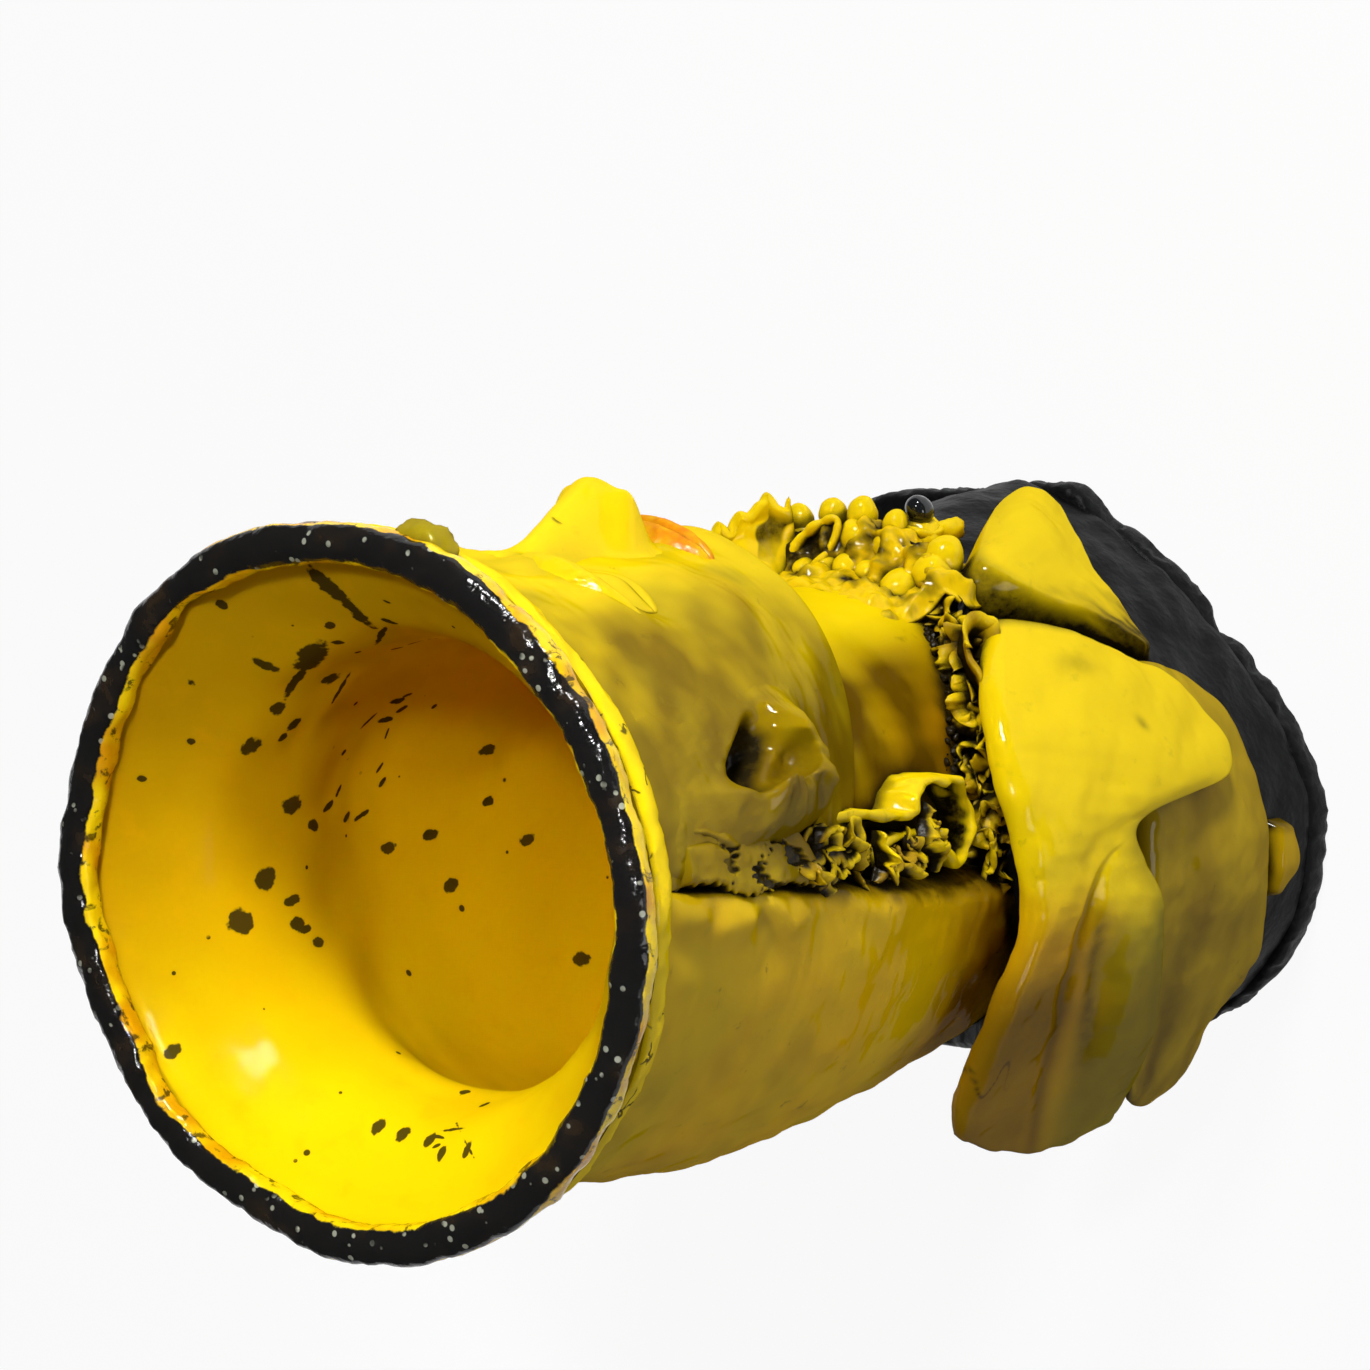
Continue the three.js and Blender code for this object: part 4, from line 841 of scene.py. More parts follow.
def makeHeadMask(v):
    across, down = shares(v["rows"], v["columns"])
    side = 2 * across - 1
    flat = side * math.radians(88)
    jaw = face["chin"] + face["jawRise"] * (1 - np.cos(flat)) ** 1.2
    up = bounded((down - v["jawShare"]) / (1 - v["jawShare"]))
    under = bounded(down / v["jawShare"])
    h = mix(jaw, body["slabTop"] + 2, up) + 3 * (1 - under)
    angle = side * (creaseAngle(h) - body["creaseGap"] / 2 / body["maskHalfWidth"])
    radius = mask.radius(angle, h)
    radius = np.where(under < 1, mix(vessel.radius(angle, jaw) - 2, mask.radius(angle, jaw), under), radius)
    fromCrease = (1 - np.abs(side)) * creaseAngle(h) * body["maskHalfWidth"]
    radius -= v["edgeRound"] * 0.8 * quarterRound(1 - fromCrease / v["edgeRound"])
    points = fromAxis(radius, angle, h)
    hollow = earHollow(ear, np.degrees(np.abs(angle)), h)
    radius += v["unevenness"] * wander(points, 20, 13) * rise(0, 0.3, up) - (ear["depth"] + 1.5) * hollow
    points = fromAxis(radius, angle, h)
    near = swell(down - v["jawShare"], 0.05)[1:-1, :, None]
    for _ in range(24):  # rounds the edge of the jaw
        points[1:-1] += 0.24 * near * (points[:-2] + points[2:] - 2 * points[1:-1])
    inner = vessel.place(angle, np.minimum(h, lipHeight - 6), -3)
    x, h = np.abs(angle) * body["maskFront"], points[..., 2]
    amber = 0.3 * swell(x - eyeX * 1.6, 14) * swell(h - noseHeight - 2, 12)
    # painted shade: dark in the ear hollow and along the mask's edge at the crease
    edge = 0.6 * bounded(1 - fromCrease / 3.5)
    return slabShell(points, inner, amber=amber, stain=bounded(2 * hollow + edge),
                     **headTones(mask.place(angle, h), angle, h))


def patchShell(surface, angle, h, lift, sink=2.5, **marks):
    under = surface.place(angle, h, np.minimum(lift, 0) - sink)
    return slabShell(surface.place(angle, h, lift), under, **marks)


def facePatch(x, h, lift, **marks):
    return patchShell(mask, x / body["maskFront"], h, lift, **marks)


noseForm = {"columns": 110, "rows": 150, "halfWidth": 24, "skin": -0.5}


def makeNose(v):
    across, down = shares(v["rows"], v["columns"])
    x = (2 * across - 1) * v["halfWidth"]
    h = mix(browHeight + 8, noseHeight - 14, down)
    reach = face["noseReach"]
    ridge = curveThrough([
        (noseHeight - 12, 0), (noseHeight - 6, 1.0), (noseHeight - 2, 8.5), (noseHeight + 3, reach - 2.2),
        (noseHeight + 8, reach), (noseHeight + 14, reach - 2.6),
        (mix(noseHeight, browHeight, 0.6), reach * 0.45), (browHeight - 6, 2.6), (browHeight + 8, 0.6)])
    width = curveThrough([
        (noseHeight - 10, 10), (noseHeight + 2, 10.5), (noseHeight + 8, 9.5), (noseHeight + 17, 7),
        (browHeight - 10, 6.4), (browHeight + 4, 10)])
    lift = ridge(h) * np.exp(-np.abs(x / width(h)) ** 2.3)
    wing = swell(np.abs(x) - 9.2, 3.9) * swell(h - noseHeight - 4, 5.6)
    lift = np.maximum(lift, 0) + 6.2 * wing
    lift -= 3.4 * swell(np.abs(x) - 5.2, 2.3) * swell(h - noseHeight + 2.6, 2.6)
    border = np.minimum(v["halfWidth"] - np.abs(x), np.minimum(h - noseHeight + 14, browHeight + 8 - h))
    lift = mix(v["skin"] - 0.6, lift + v["skin"], rise(0, 7, border))
    lift += 0.12 * wander(flatPoints(x, h), 9, 15)
    # painted shade: dark in the nostrils and olive on the sides of the nose towards the brow
    nostril = swell(np.abs(x) - 5.2, 2.2) * swell(h - noseHeight + 2.8, 2.2)
    olive = 0.7 * rise(2, 9, np.abs(x)) * rise(noseHeight, browHeight, h)
    return facePatch(x, h, lift, stain=bounded(nostril), olive=olive)


lipForm = {"columns": 130, "rows": 46, "skin": -0.5}


def makeLip(v, upper):
    across, down = shares(v["rows"], v["columns"])
    half = face["mouthWidth"] / 2
    x = (2 * across - 1) * (half + 2)
    bow = 1.6 * swell(np.abs(x) - 6, 5) - 0.6 * swell(x, 3.5)
    taper = bounded(1 - (x / half) ** 2) ** 0.55
    line = mouthHeight - 0.9 * swell(x, 7) + 0.7 * swell(np.abs(x) - 12, 8)
    full = face["lipFullness"]
    deep = (full * 1.0 + bow) * taper + 1.2 if upper else full * 1.3 * taper + 1.2
    h = line + (down if upper else -down) * deep
    crown = np.sin(math.pi * bounded(0.12 + 0.86 * down) ** (0.72 if upper else 0.85)) ** 0.8
    lift = v["skin"] + (full * (0.72 if upper else 0.95) * taper + 0.5) * crown
    lift += 0.12 * wander(flatPoints(x, h), 6, 16 + upper)
    # painted shade: dark along the line where the lips meet
    return facePatch(x, h, lift, stain=0.8 * swell(down, 0.06))


lidForm = {"columns": 90, "rows": 42, "skin": -0.4}


def makeLid(v, side, upper):
    across, down = shares(v["rows"], v["columns"])
    half = face["eyeWidth"] / 2 + 1.5
    out = 2 * across - 1
    x = side * (eyeX + out * half)
    taper = bounded(1 - out ** 2) ** 0.5
    seam = eyeHeight - 2.6 * (1 - out ** 2) - 0.8 * out * side
    h = seam + (down * (8.6 * taper + 0.8) if upper else -down * (4.6 * taper + 0.8))
    lift = v["skin"] + (2.6 if upper else 1.9) * taper * np.sin(math.pi * bounded(0.16 + 0.84 * down)) ** 0.7
    # painted shade: dark along the line where the lids meet
    return facePatch(x, h, lift, stain=0.9 * swell(down, 0.07), olive=0.4 + 0 * x)


browForm = {"columns": 90, "rows": 36, "skin": -0.4, "rise": 2.6}


def makeBrow(v, side):
    across, down = shares(v["rows"], v["columns"])
    x = side * mix(face["eyeSpacing"] * 0.17, face["eyeSpacing"] * 0.84, across)
    taper = np.sin(math.pi * bounded(across * 0.92 + 0.06)) ** 0.6
    h = browHeight + 2 + 3.8 * np.sin(math.pi * across) + (2 * down - 1) * (3.8 * taper + 0.8)
    lift = v["skin"] + v["rise"] * taper * bounded(1 - (2 * down - 1) ** 2)
    return facePatch(x, h, lift + 0.15 * wander(flatPoints(x, h), 5, 18), olive=0.3 + 0 * x)


def nearLine(points, line):  # the distance from each point to a line, and the share of the line walked there
    best = np.full(points.shape[:-1], np.inf)
    walked = np.zeros(points.shape[:-1])
    count = len(line) - 1
    for k in range(count):
        step = line[k + 1] - line[k]
        t = bounded(((points - line[k]) @ step) / (step @ step))
        away = np.linalg.norm(points - line[k] - t[..., None] * step, axis=-1)
        walked = np.where(away < best, (k + t) / count, walked)
        best = np.minimum(best, away)
    return best, walked


def makeEar(v, side):  # a lip of clay drawn up round a hole, painted dark as shade, and smoothed off behind
    across, down = shares(v["rows"], v["columns"])
    turn = mix(v["from"], v["to"], across)
    h = mix(v["high"], v["low"], down)
    points = flatPoints(turn * degree, h)
    crest = smoothLine(v["crest"], 40) * [degree, 1]
    hole, lump, pit = (np.array(v[spot]) * [degree, 1] for spot in ("hole", "lump", "pit"))
    away, walked = nearLine(points, crest)
    closest = np.array([np.interp(walked, np.linspace(0, 1, len(crest)), crest[:, k]) for k in (0, 1)])
    closest = np.moveaxis(closest, 0, -1)
    inner = np.linalg.norm(points - hole, axis=-1) < np.linalg.norm(closest - hole, axis=-1)
    tall = v["reach"] * rise(0, 0.22, walked) * rise(1, 0.55, walked) * (1 + 0.08 * wander(points, 14, 19))
    lift = tall * np.where(inner, swell(away, v["inside"]), swell(away, v["outside"]))
    deep = earHollow(v, turn, h)
    lift = lift * (1 - deep) - v["depth"] * deep
    second = swell(np.linalg.norm(points - lump, axis=-1), 4.5)
    lift += 5 * second - 3 * swell(np.linalg.norm(points - pit, axis=-1), 2.6)
    pull = (hole - points) / np.maximum(np.linalg.norm(hole - points, axis=-1, keepdims=True), 1)
    share = bounded(lift / v["reach"])[..., None]
    moved = points + pull * v["curl"] * share ** 2
    border = np.minimum(np.minimum(across, 1 - across) * (v["to"] - v["from"]) * degree,
                        np.minimum(down, 1 - down) * (v["high"] - v["low"]))
    lift = mix(-1.2, lift + 0.3, rise(0, 9, border)) + 0.2 * wander(points, 10, 20)
    # painted shade: dark in the hole and on the upper side of the lump below it
    dark = bounded(3.4 * deep - 0.25 + 0.3 * second * rise(244, 250, h))
    angle, h = side * moved[..., 0] / body["maskHalfWidth"], moved[..., 1]
    return patchShell(mask, angle, h, lift, 5, stain=dark, **headTones(mask.place(angle, h), angle, h))


seamStrip = {"columns": 70, "rows": 300, "width": 20, "tongue": 6, "over": 0.6, "teeth": 0.8, "lip": 2.8,
             "low": 236}


def makeSeamStrip(v, side):  # smooth where it leaves the cheek, its lower edge finely torn over the crease
    across, down = shares(v["rows"], v["columns"])
    h = mix(body["slabTop"] - 8, v["low"], down)
    line = flatPoints(h, 0 * h)
    torn = v["teeth"] * np.clip(wander(line, 3.4, 21 + side, 2), -0.3, 1) * rise(0.88, 1, across)
    wavy = 1.1 * wander(line, 32, 22, 2)
    width = mix(v["tongue"], v["width"], rise(243, 264, h))
    away = v["over"] + wavy - width * (1 - across) + torn
    angle = side * (creaseAngle(h) + away / body["maskHalfWidth"])
    lift = -1.4 + (v["lip"] + 1.4) * rise(0.0, 0.55, across) * (0.9 + 0.25 * wander(line, 30, 23, 2))
    groove = swell(across - 0.45 - 0.25 * down, 0.05) * swell(down - 0.1, 0.14)
    lift -= 3.0 * groove + 2.8 * quarterRound((across - 0.92) / 0.08)
    lift += 0.3 * wander(flatPoints(h, away), 12, 24)
    tongue = rise(262, 250, h)
    lift = mix(lift, v["lip"] * (1 - (2 * across - 1) ** 4) ** 0.5 + 0.8, tongue)
    ends = rise(0, 0.05, down) * rise(1, 0.95, down)
    lift = mix(-1.5, lift, ends)
    radius = Surface(lambda a, z: np.minimum(mask.radius(a, z), body["maskHalfWidth"] + 2))
    # painted shade: dark along the torn edge over the crease and in the groove; the sunken patches near the top
    # are dark too
    stain = 0.9 * rise(0.97, 1, across) + 0.8 * groove
    patches = 0.9 * rise(0.35, 0.75, wander(flatPoints(h, away * 2.2), 15, 29)) * rise(298, 280, h)
    return patchShell(radius, angle, h, lift - 1.6 * patches, 4, stain=bounded(stain + patches),
                      **headTones(mask.place(angle, h), angle, h))


neckScroll = {"steps": 260, "rows": 18, "thickness": 2.5, "reach": 13.5, "track": [  # degrees, height
    (83, 226), (83.5, 213), (85.5, 201), (86.5, 190), (82.5, 185), (80, 178), (80, 169), (82.5, 160),
    (89, 152.5), (96, 150.5), (101, 153), (104, 160), (100.5, 166), (96, 174), (92.5, 186), (91.5, 197),
    (94.5, 204), (99.5, 200), (102, 191)]}


def makeNeckScroll(v, side):  # a thin strip on edge that runs down the crease and hooks round a hollow, which the vessel's marks paint dark as shade
    line = smoothLine(v["track"], v["steps"])
    angle, h = side * np.radians(line[:, 0]), line[:, 1]
    base = vessel.place(angle, h, -2)
    out = vessel.normal(angle, h)
    t = np.linspace(0, 1, v["steps"])
    ends = np.sin(math.pi * bounded(mix(0.04, 0.98, t))) ** 0.35
    reach = v["reach"] * ends * (1 + 0.1 * wander(base, 14, 25, 2)) + 1
    middle = vessel.place(side * math.radians(91), 168, 6)
    bend = 0.35 + 0.25 * wander(base, 20, 27, 2)
    grid = curledSheet(base, out, facing(base, out, middle), reach, bend, v["rows"])
    thick = v["thickness"] * (1 + 0.22 * wander(grid, 8, 26, 2))
    rim = np.linspace(0, 1, v["rows"])[None, :] + 0.25 * wander(grid, 9, 28, 2)
    # painted shade: dark on the face towards the hollow up to near the top edge, and low on the other face
    dark = 0.95 * rise(0.95, 0.6, rim)
    towards = np.sum(gridNormals(grid) * (middle - grid), axis=-1)
    faces = (dark, 0.4 * rise(0.6, 0.1, rim))
    return pillow(grid, thick, 1.2, stain=faces if np.mean(towards) > 0 else faces[::-1])


backHood = {"columns": 220, "rows": 180, "edge": 7, "unevenness": 0.55, "creaseShade": 5}


def makeBackHood(v):
    across, down = shares(v["rows"], v["columns"])
    side = 2 * across - 1
    low = body["hoodBottom"] + 26 * np.abs(side) ** 3
    h = mix(low, body["slabTop"] + 2, down)
    span = math.pi - creaseAngle(h) - body["creaseGap"] / 2 / body["maskHalfWidth"]
    angle = math.pi + side * span
    outer = hood.place(angle, h)
    drop = (1 - edgeShare(outer, v["edge"])) * v["edge"] * rise(1.0, 0.96, down)
    drop = drop * mix(1, 0.4, rise(244, 270, h))
    fromCrease = (1 - np.abs(side)) * span * hood.radius(angle, h)
    ledge = 2.2 * swell(fromCrease - 7, 5) * rise(238, 262, h) * (1 + 0.8 * wander(outer, 20, 27, 2))
    outer = hood.place(angle, h, v["unevenness"] * (wander(outer, 26, 28) - 0.9) - drop + ledge)
    inner = vessel.place(angle, np.minimum(h, lipHeight - 6), -2)
    # darker towards the bottom and dark at the nape
    nape = rise(118, 88, outer[..., 2] + 6 * wander(outer, 18, 29))
    top = rise(250, 300, h)
    olive = bounded(0.12 + 0.4 * top + 0.12 * wander(outer, 46, 30))
    amber = bounded(0.25 - 0.2 * top + 0.12 * wander(outer, 60, 31))
    burnt = bounded(0.5 * rise(170, 105, h) - 0.05 + 0.12 * wander(outer, 30, 36))
    # painted shade: dark along the crease
    crease = rise(v["creaseShade"] * rise(262, 232, h) + 1.2, 0.0, fromCrease) * rise(312, 296, h)
    return slabShell(outer, inner, olive=olive, amber=amber, burnt=burnt,
                     stain=bounded(0.85 * nape + 0.8 * crease))


makePiece("headMask", makeHeadMask(headMask), headGlaze, ["face_mask"])
makePiece("noseForm", makeNose(noseForm), headGlaze, ["nose"])
makePiece("upperLip", makeLip(lipForm, True), warmGlaze, ["upper_lip"])
makePiece("lowerLip", makeLip(lipForm, False), warmGlaze, ["lower_lip"])
sides = (("right", -1), ("left", 1))
for sideName, side in sides:
    for lidName, upper in (("upper", True), ("lower", False)):
        makePiece(f"{sideName}{lidName.title()}Lid", makeLid(lidForm, side, upper), headGlaze,
                  [f"{sideName}_{lidName}_lid"])
    makePiece(f"{sideName}Brow", makeBrow(browForm, side), headGlaze, [f"{sideName}_brow"])
    makePiece(f"{sideName}Ear", makeEar(ear, side), headGlaze, [f"{sideName}_ear"])
    makePiece(f"{sideName}SeamStrip", makeSeamStrip(seamStrip, side), headGlaze,
              [f"{sideName}_seam_strip"])
    makePiece(f"{sideName}NeckScroll", makeNeckScroll(neckScroll, side), trimGlaze,
              [f"{sideName}_neck_scroll"])
makePiece("backHood", makeBackHood(backHood), hoodGlaze, ["back_hood"])
print("head dressed")


# The bust: a hollow black mantle on a torn slab

def between(depth, sink=0.0):  # a surface part of the way in from the mantle to the vessel
    return Surface(lambda angle, h: mix(mantle.radius(angle, h), vessel.radius(angle, h) + sink, depth))


mantleForm = {"turns": 300, "rows": 60, "torn": 1.2}


def makeMantle(v):
    turn = turns(v["turns"])
    top = mantleTop(turn)
    share = np.linspace(0, 1, v["rows"])[None, :]
    outer = mantle.place(turn, mix(vesselBottom, top, share))
    top = top - v["torn"] * (0.6 + 0.6 * wander(mantle.place(turn, top), 9, 32, 2)) * 0.8
    height = mix(vesselBottom, top, share)
    rounding = 3.0 * quarterRound(1 - (top - height) / 5)
    outer = mantle.place(turn, height, 0.5 * (wander(outer, 24, 33) - 1.0) - rounding)
    shelf = [between(d, -2).place(turn, top - 3 * d) for d in (0.3, 0.65, 1.0)]
    under = drum(body["neckRadius"] - 2).place(turn, top - 9)
    inner = [mantle.place(turn, mix(top - 15, vesselBottom, share), -body["mantleWall"])
             for share in (0, 0.33, 0.66, 1)]
    section = np.concatenate([outer] + shelf + [under] + inner, axis=1)
    return turnedShell(section)


baseSlab = {"turns": 420, "torn": 0.9, "notches": [  # degrees, half width in degrees, depth
    (-11, 4, -3), (-19, 3, 1.5), (-51, 4, 4.5), (-62, 3, 2), (38, 5, 2), (74, 4, 3)]}


def makeBaseSlab(v):
    turn = turns(v["turns"])
    front, back = body["baseFront"] + body["baseCentre"], body["baseBack"] - body["baseCentre"]
    rounded = oval(turn, body["baseHalfWidth"], front, back, frontPower(0), 2.5)
    squared = oval(turn, body["baseHalfWidth"], front - 5, back, 3.2, 2.5)
    reach = mix(rounded, squared, rise(math.radians(-8), math.radians(10), turn))
    for angle, width, depth in v["notches"]:
        reach = reach - depth * swell(turn - math.radians(angle), math.radians(width))
    profile = [(0, -3.2), (0.5, -1.6), (1.8, -0.5), (4, 0), (7, 0), (9.6, -0.3), (11.3, -1.2), (12, -2.6)]
    slab = Surface(lambda angle, h: reach, lambda h: body["baseCentre"] + 0 * h)
    rows = []
    for h, inset in profile:
        rough = v["torn"] * (np.abs(wander(slab.place(turn, h), 11, 34, 4)) * rise(-1, 4, h) + 0.1)
        rows.append(slab.place(turn, h, inset - rough))
    under, top = poles([(0, body["baseCentre"], h) for h in (0, body["baseThickness"])], v["turns"])
    return turnedShell(np.concatenate([under] + rows + [top], axis=1), False)


makePiece("mantle", makeMantle(mantleForm), satinClay, ["mantle"])
makePiece("baseSlab", makeBaseSlab(baseSlab), satinClay, ["base_slab"])
print("bust built")


# Drapes: rows of [degrees from the front, share of the mantle's height there, lift in slab thicknesses]

drapeThickness = 8


def clothGrid(rows, side, long, wide):  # a smooth face through the rows, and its inner lift where one is given
    stations = []
    for row in rows:
        line = []
        for angle, share, lift, *under in row:
            turn = side * math.radians(angle)
            h = share * mantleTop(abs(turn))
            ends = [lift * drapeThickness, (under[0] if under else lift - 1) * drapeThickness]
            line.append([mantle.place(turn, h, reach) for reach in ends])
        stations.append(line)
    grid = smoothLine(np.array(stations), long)
    grid = smoothLine(np.swapaxes(grid, 0, 1), wide)
    grid = np.swapaxes(grid, 0, 1)
    return grid[:, :, 0], grid[:, :, 1]


def clothShell(v, side, seed, shape=None, **marks):
    outer, inner = clothGrid(v["rows"], side, v["long"], v["wide"])
    away = unit(outer - inner)
    middle = outer - away * drapeThickness / 2
    down, across = (k.T for k in shares(v["wide"], v["long"]))
    push = v.get("wave", 0.7) * (wander(middle, 40, seed, 2) - 0.8) + 0.12 * wander(middle, 12, seed + 1, 2)
    if shape:
        push = push + shape(down, across)
    middle = middle + away * push[..., None]
    rounding = edgeShare(middle, v["edge"])
    thickness = (drapeThickness * (1 + 0.08 * wander(middle, 18, seed + 2)) * rounding)[..., None]
    top = middle + away * thickness / 2
    bedded = np.linalg.norm(outer - inner, axis=-1, keepdims=True) > drapeThickness * 1.05
    bottom = np.where(bedded & (rounding[..., None] > 0.5), inner, middle - away * thickness / 2)
    if v.get("laid"):  # pressed down onto the mantle all round its border
        top = mix(top, inner, (1 - rounding)[..., None])
        bottom = inner
    return slabShell(top, bottom, **{mark: tone(down, across) for mark, tone in marks.items()})


bigDrape = {"long": 300, "wide": 120, "edge": 4, "wave": 0.6, "rows": [
    [[41, 1, 1.62], [46, 0.89, 1.75], [53, 0.75, 1.62], [60, 0.59, 1.5]],
    [[59, 1.13, 1.88], [62, 0.93, 2.12], [65, 0.72, 2], [69, 0.51, 1.75]],
    [[78, 1.12, 2], [78, 0.92, 2.25], [79, 0.71, 2.12], [80, 0.5, 1.88]],
    [[93, 1.09, 2.12], [91, 0.99, 2.25], [89, 0.9, 2], [86, 0.8, 1.75]],
    [[108, 1.13, 2.25], [106, 1, 2], [103, 0.86, 2], [100, 0.74, 1.75]],
    [[123, 1.27, 2.62], [122, 1.06, 2], [121, 0.87, 2.38], [119, 0.7, 1.88]],
    [[139, 1.39, 3.5], [137, 1.14, 2.75], [135, 0.89, 3], [132, 0.66, 2.38]],
    [[147, 1.43, 4.5], [150, 1.21, 4.25], [149, 0.91, 4.12], [146, 0.61, 3.5]],
]}
lowerDrape = {"long": 240, "wide": 100, "edge": 5, "wave": 0.9, "rows": [
    [[56, 0.56, 0.88, -0.25], [58, 0.5, 1, -0.25], [60, 0.43, 1, -0.25]],
    [[68, 0.74, 0.75, -0.25], [68, 0.54, 1, -0.25], [68, 0.35, 1, -0.25]],
    [[79, 0.72, 0.75, -0.25], [78, 0.51, 1, -0.25], [77, 0.3, 1, -0.25]],
    [[93, 0.71, 0.75, -0.25], [92, 0.51, 1, -0.25], [91, 0.3, 1, -0.25]],
    [[108, 0.73, 0.75, -0.25], [109, 0.51, 1.12, -0.12], [110, 0.28, 1, -0.25]],
    [[121, 0.74, 0.88, -0.25], [122, 0.53, 1.38, 0.12], [124, 0.3, 1.25, 0]],
    [[131, 0.7, 1.75], [134, 0.55, 2.25], [136, 0.39, 2.5]],
    [[137, 0.66, 2.75], [141, 0.6, 3.12], [143, 0.52, 3.12]],
]}
lapel = {"long": 220, "wide": 110, "edge": 6, "wave": 1.0, "laid": True, "rows": [
    [[14, 0.64, 1.2, -0.25], [14, 0.55, 1.5, -0.25], [16, 0.44, 1.1, -0.25]],
    [[20, 0.82, 1.5, -0.25], [20, 0.62, 2.3, -0.25], [21, 0.42, 1.4, -0.25]],
    [[28, 0.97, 1.4, -0.25], [28, 0.74, 2.3, -0.25], [29, 0.47, 1.3, -0.25]],
    [[35, 0.91, 1.4, -0.25], [36, 0.73, 1.8, -0.25], [38, 0.5, 1.1, -0.25]],
    [[42, 0.76, 1.1, -0.25], [44, 0.65, 1.2, -0.25], [47, 0.49, 0.8, -0.25]],
    [[55, 0.5, 0.5, -0.25], [56, 0.465, 0.7, -0.25], [57, 0.43, 0.5, -0.25]],
]}
leafForm = {"long": 70, "wide": 46, "edge": 3, "wave": 0.3, "laid": True, "rows": [
    [[90, 0.24, 0.38, -0.25], [90, 0.21, 0.5, -0.25], [90, 0.18, 0.38, -0.25]],
    [[97, 0.26, 0.62, -0.25], [97, 0.22, 0.75, -0.25], [97, 0.16, 0.5, -0.25]],
    [[104, 0.25, 0.38, -0.25], [104, 0.23, 0.5, -0.25], [104, 0.21, 0.38, -0.25]],
]}
leftDrape = {"long": 220, "wide": 100, "edge": 4, "wave": 0.9, "rows": [
    [[62, 0.88, 1], [64, 0.73, 1], [67, 0.55, 1]],
    [[78, 1.05, 1.38], [80, 0.82, 1.75], [82, 0.54, 1.62]],
    [[95, 1.06, 1.75], [96, 0.85, 2], [97, 0.61, 1.75]],
    [[112, 1.12, 2], [113, 0.92, 2], [114, 0.71, 1.75]],
    [[128, 1.19, 2.38], [130, 0.97, 2.25], [131, 0.7, 1.88]],
    [[140, 1.23, 2.75], [142, 1, 2.5], [143, 0.72, 2]],
]}


overlap = curveThrough([  # share down, share across: the edge of the strip that laps over the tongue
    (0.43, 1.0), (0.47, 0.6), (0.54, 0.37), (0.63, 0.31), (0.73, 0.32), (0.86, 0.38), (1, 0.45)])


def bigFolds(down, across):  # the dent near the front, the valley down the tongue and the strip over it
    dent = -1.6 * swell(down - 0.16, 0.07) * swell(across - 0.3, 0.2)
    valley = -3.4 * swell(across - 0.56, 0.11) * rise(0.52, 0.66, down) * rise(1.0, 0.86, down)
    past = across - overlap(down)
    strip = (1.5 * rise(0.05, -0.04, past) - 1.3 * swell(past - 0.07, 0.05)) * rise(0.44, 0.52, down)
    return dent + valley + strip * rise(1.0, 0.84, down)


def lowerFold(down, across, at, width):  # one shallow fold down the lower drape
    return swell(across - at + 0.12 * np.sin(3 * down), width) * rise(0.2, 0.4, down)


def lowerFolds(down, across):
    return -1.5 * lowerFold(down, across, 0.42, 0.1) * rise(0.95, 0.8, down)


# darker towards the bottom, with painted shade in the fold
def lowerDarkAndFoldShade(down, across):
    return 0.32 + 0.35 * down + 0.35 * lowerFold(down, across, 0.47, 0.09) + 0.1 * frayed(down, across)


# painted shade: olive over the tongue and along the far edge
def bigOlive(down, across):
    tongue = rise(0.5, 0.62, down) * (0.3 + 0.6 * rise(0.5, 0.62, across))
    return tongue + 0.6 * swell(across - 1, 0.12) * rise(0.3, 0.42, down)


def bigAmber(down, across):
    return 0.8 * rise(0.42, 0.6, down) * rise(0.7, 0.4, across)


# painted shade: dark under the far edge, in the crease past the strip and over the tongue and its strip
def bigPaintedShade(down, across):
    under = 0.45 * rise(0.75, 1.0, across) * rise(0.28, 0.4, down) * rise(0.6, 0.5, down)
    crease = 0.5 * swell(across - overlap(down) - 0.06, 0.05) * rise(0.46, 0.54, down)
    strip = 0.62 + 0.36 * rise(0.04, -0.04, across - overlap(down))
    return under + crease + strip * rise(0.5, 0.72, down) * rise(1.08, 0.8, down * 0.6 + across * 0.4)


# painted shade in the valley down the tongue; the far edge, the dimples, the crack and the top and bottom edges
# are darkened too
def bigStainAndShade(down, across):
    valley = 0.55 * swell(across - 0.5 - 0.1 * rise(0.6, 0.9, down), 0.05) * rise(0.5, 0.58, down)
    valley = valley * rise(0.92, 0.7, down)
    tip = 0.5 * rise(0.97, 1, across) * rise(0.36, 0.5, down)
    dimples = 0.5 * swell(down - 0.2, 0.012) * swell(across - 0.56, 0.02)
    dimples = dimples + 0.3 * swell(down - 0.09, 0.02) * swell(across - 0.4, 0.09)
    crack = swell(down - 0.81 - 0.03 * np.sin(40 * across), 0.004) * rise(0.24, 0.1, across)
    dimples = dimples + 0.7 * crack
    return valley + tip + dimples + 0.4 * rise(0.985, 1, down) + 0.9 * rise(0.03, 0, down)


def leafStain(down, across):
    return 0.8 * rise(0.3, 0.48, np.abs(down - 0.5)) + 0.8 * rise(0.3, 0.5, np.abs(across - 0.5))


def frayed(down, across):  # uneven shares along a torn edge
    return wander(flatPoints(down * 60, across * 50), 14, 53, 4)


def lapelStain(down, across):
    edge = 0.85 * rise(0.83, 0.96, down + 0.03 * frayed(down, across))
    return edge + 0.9 * rise(0.2, 0, across) * rise(0.2, 0.45, down)


def lapelBurnt(down, across):
    return 0.65 * rise(0.66, 0.94, down + 0.035 * frayed(down, across))


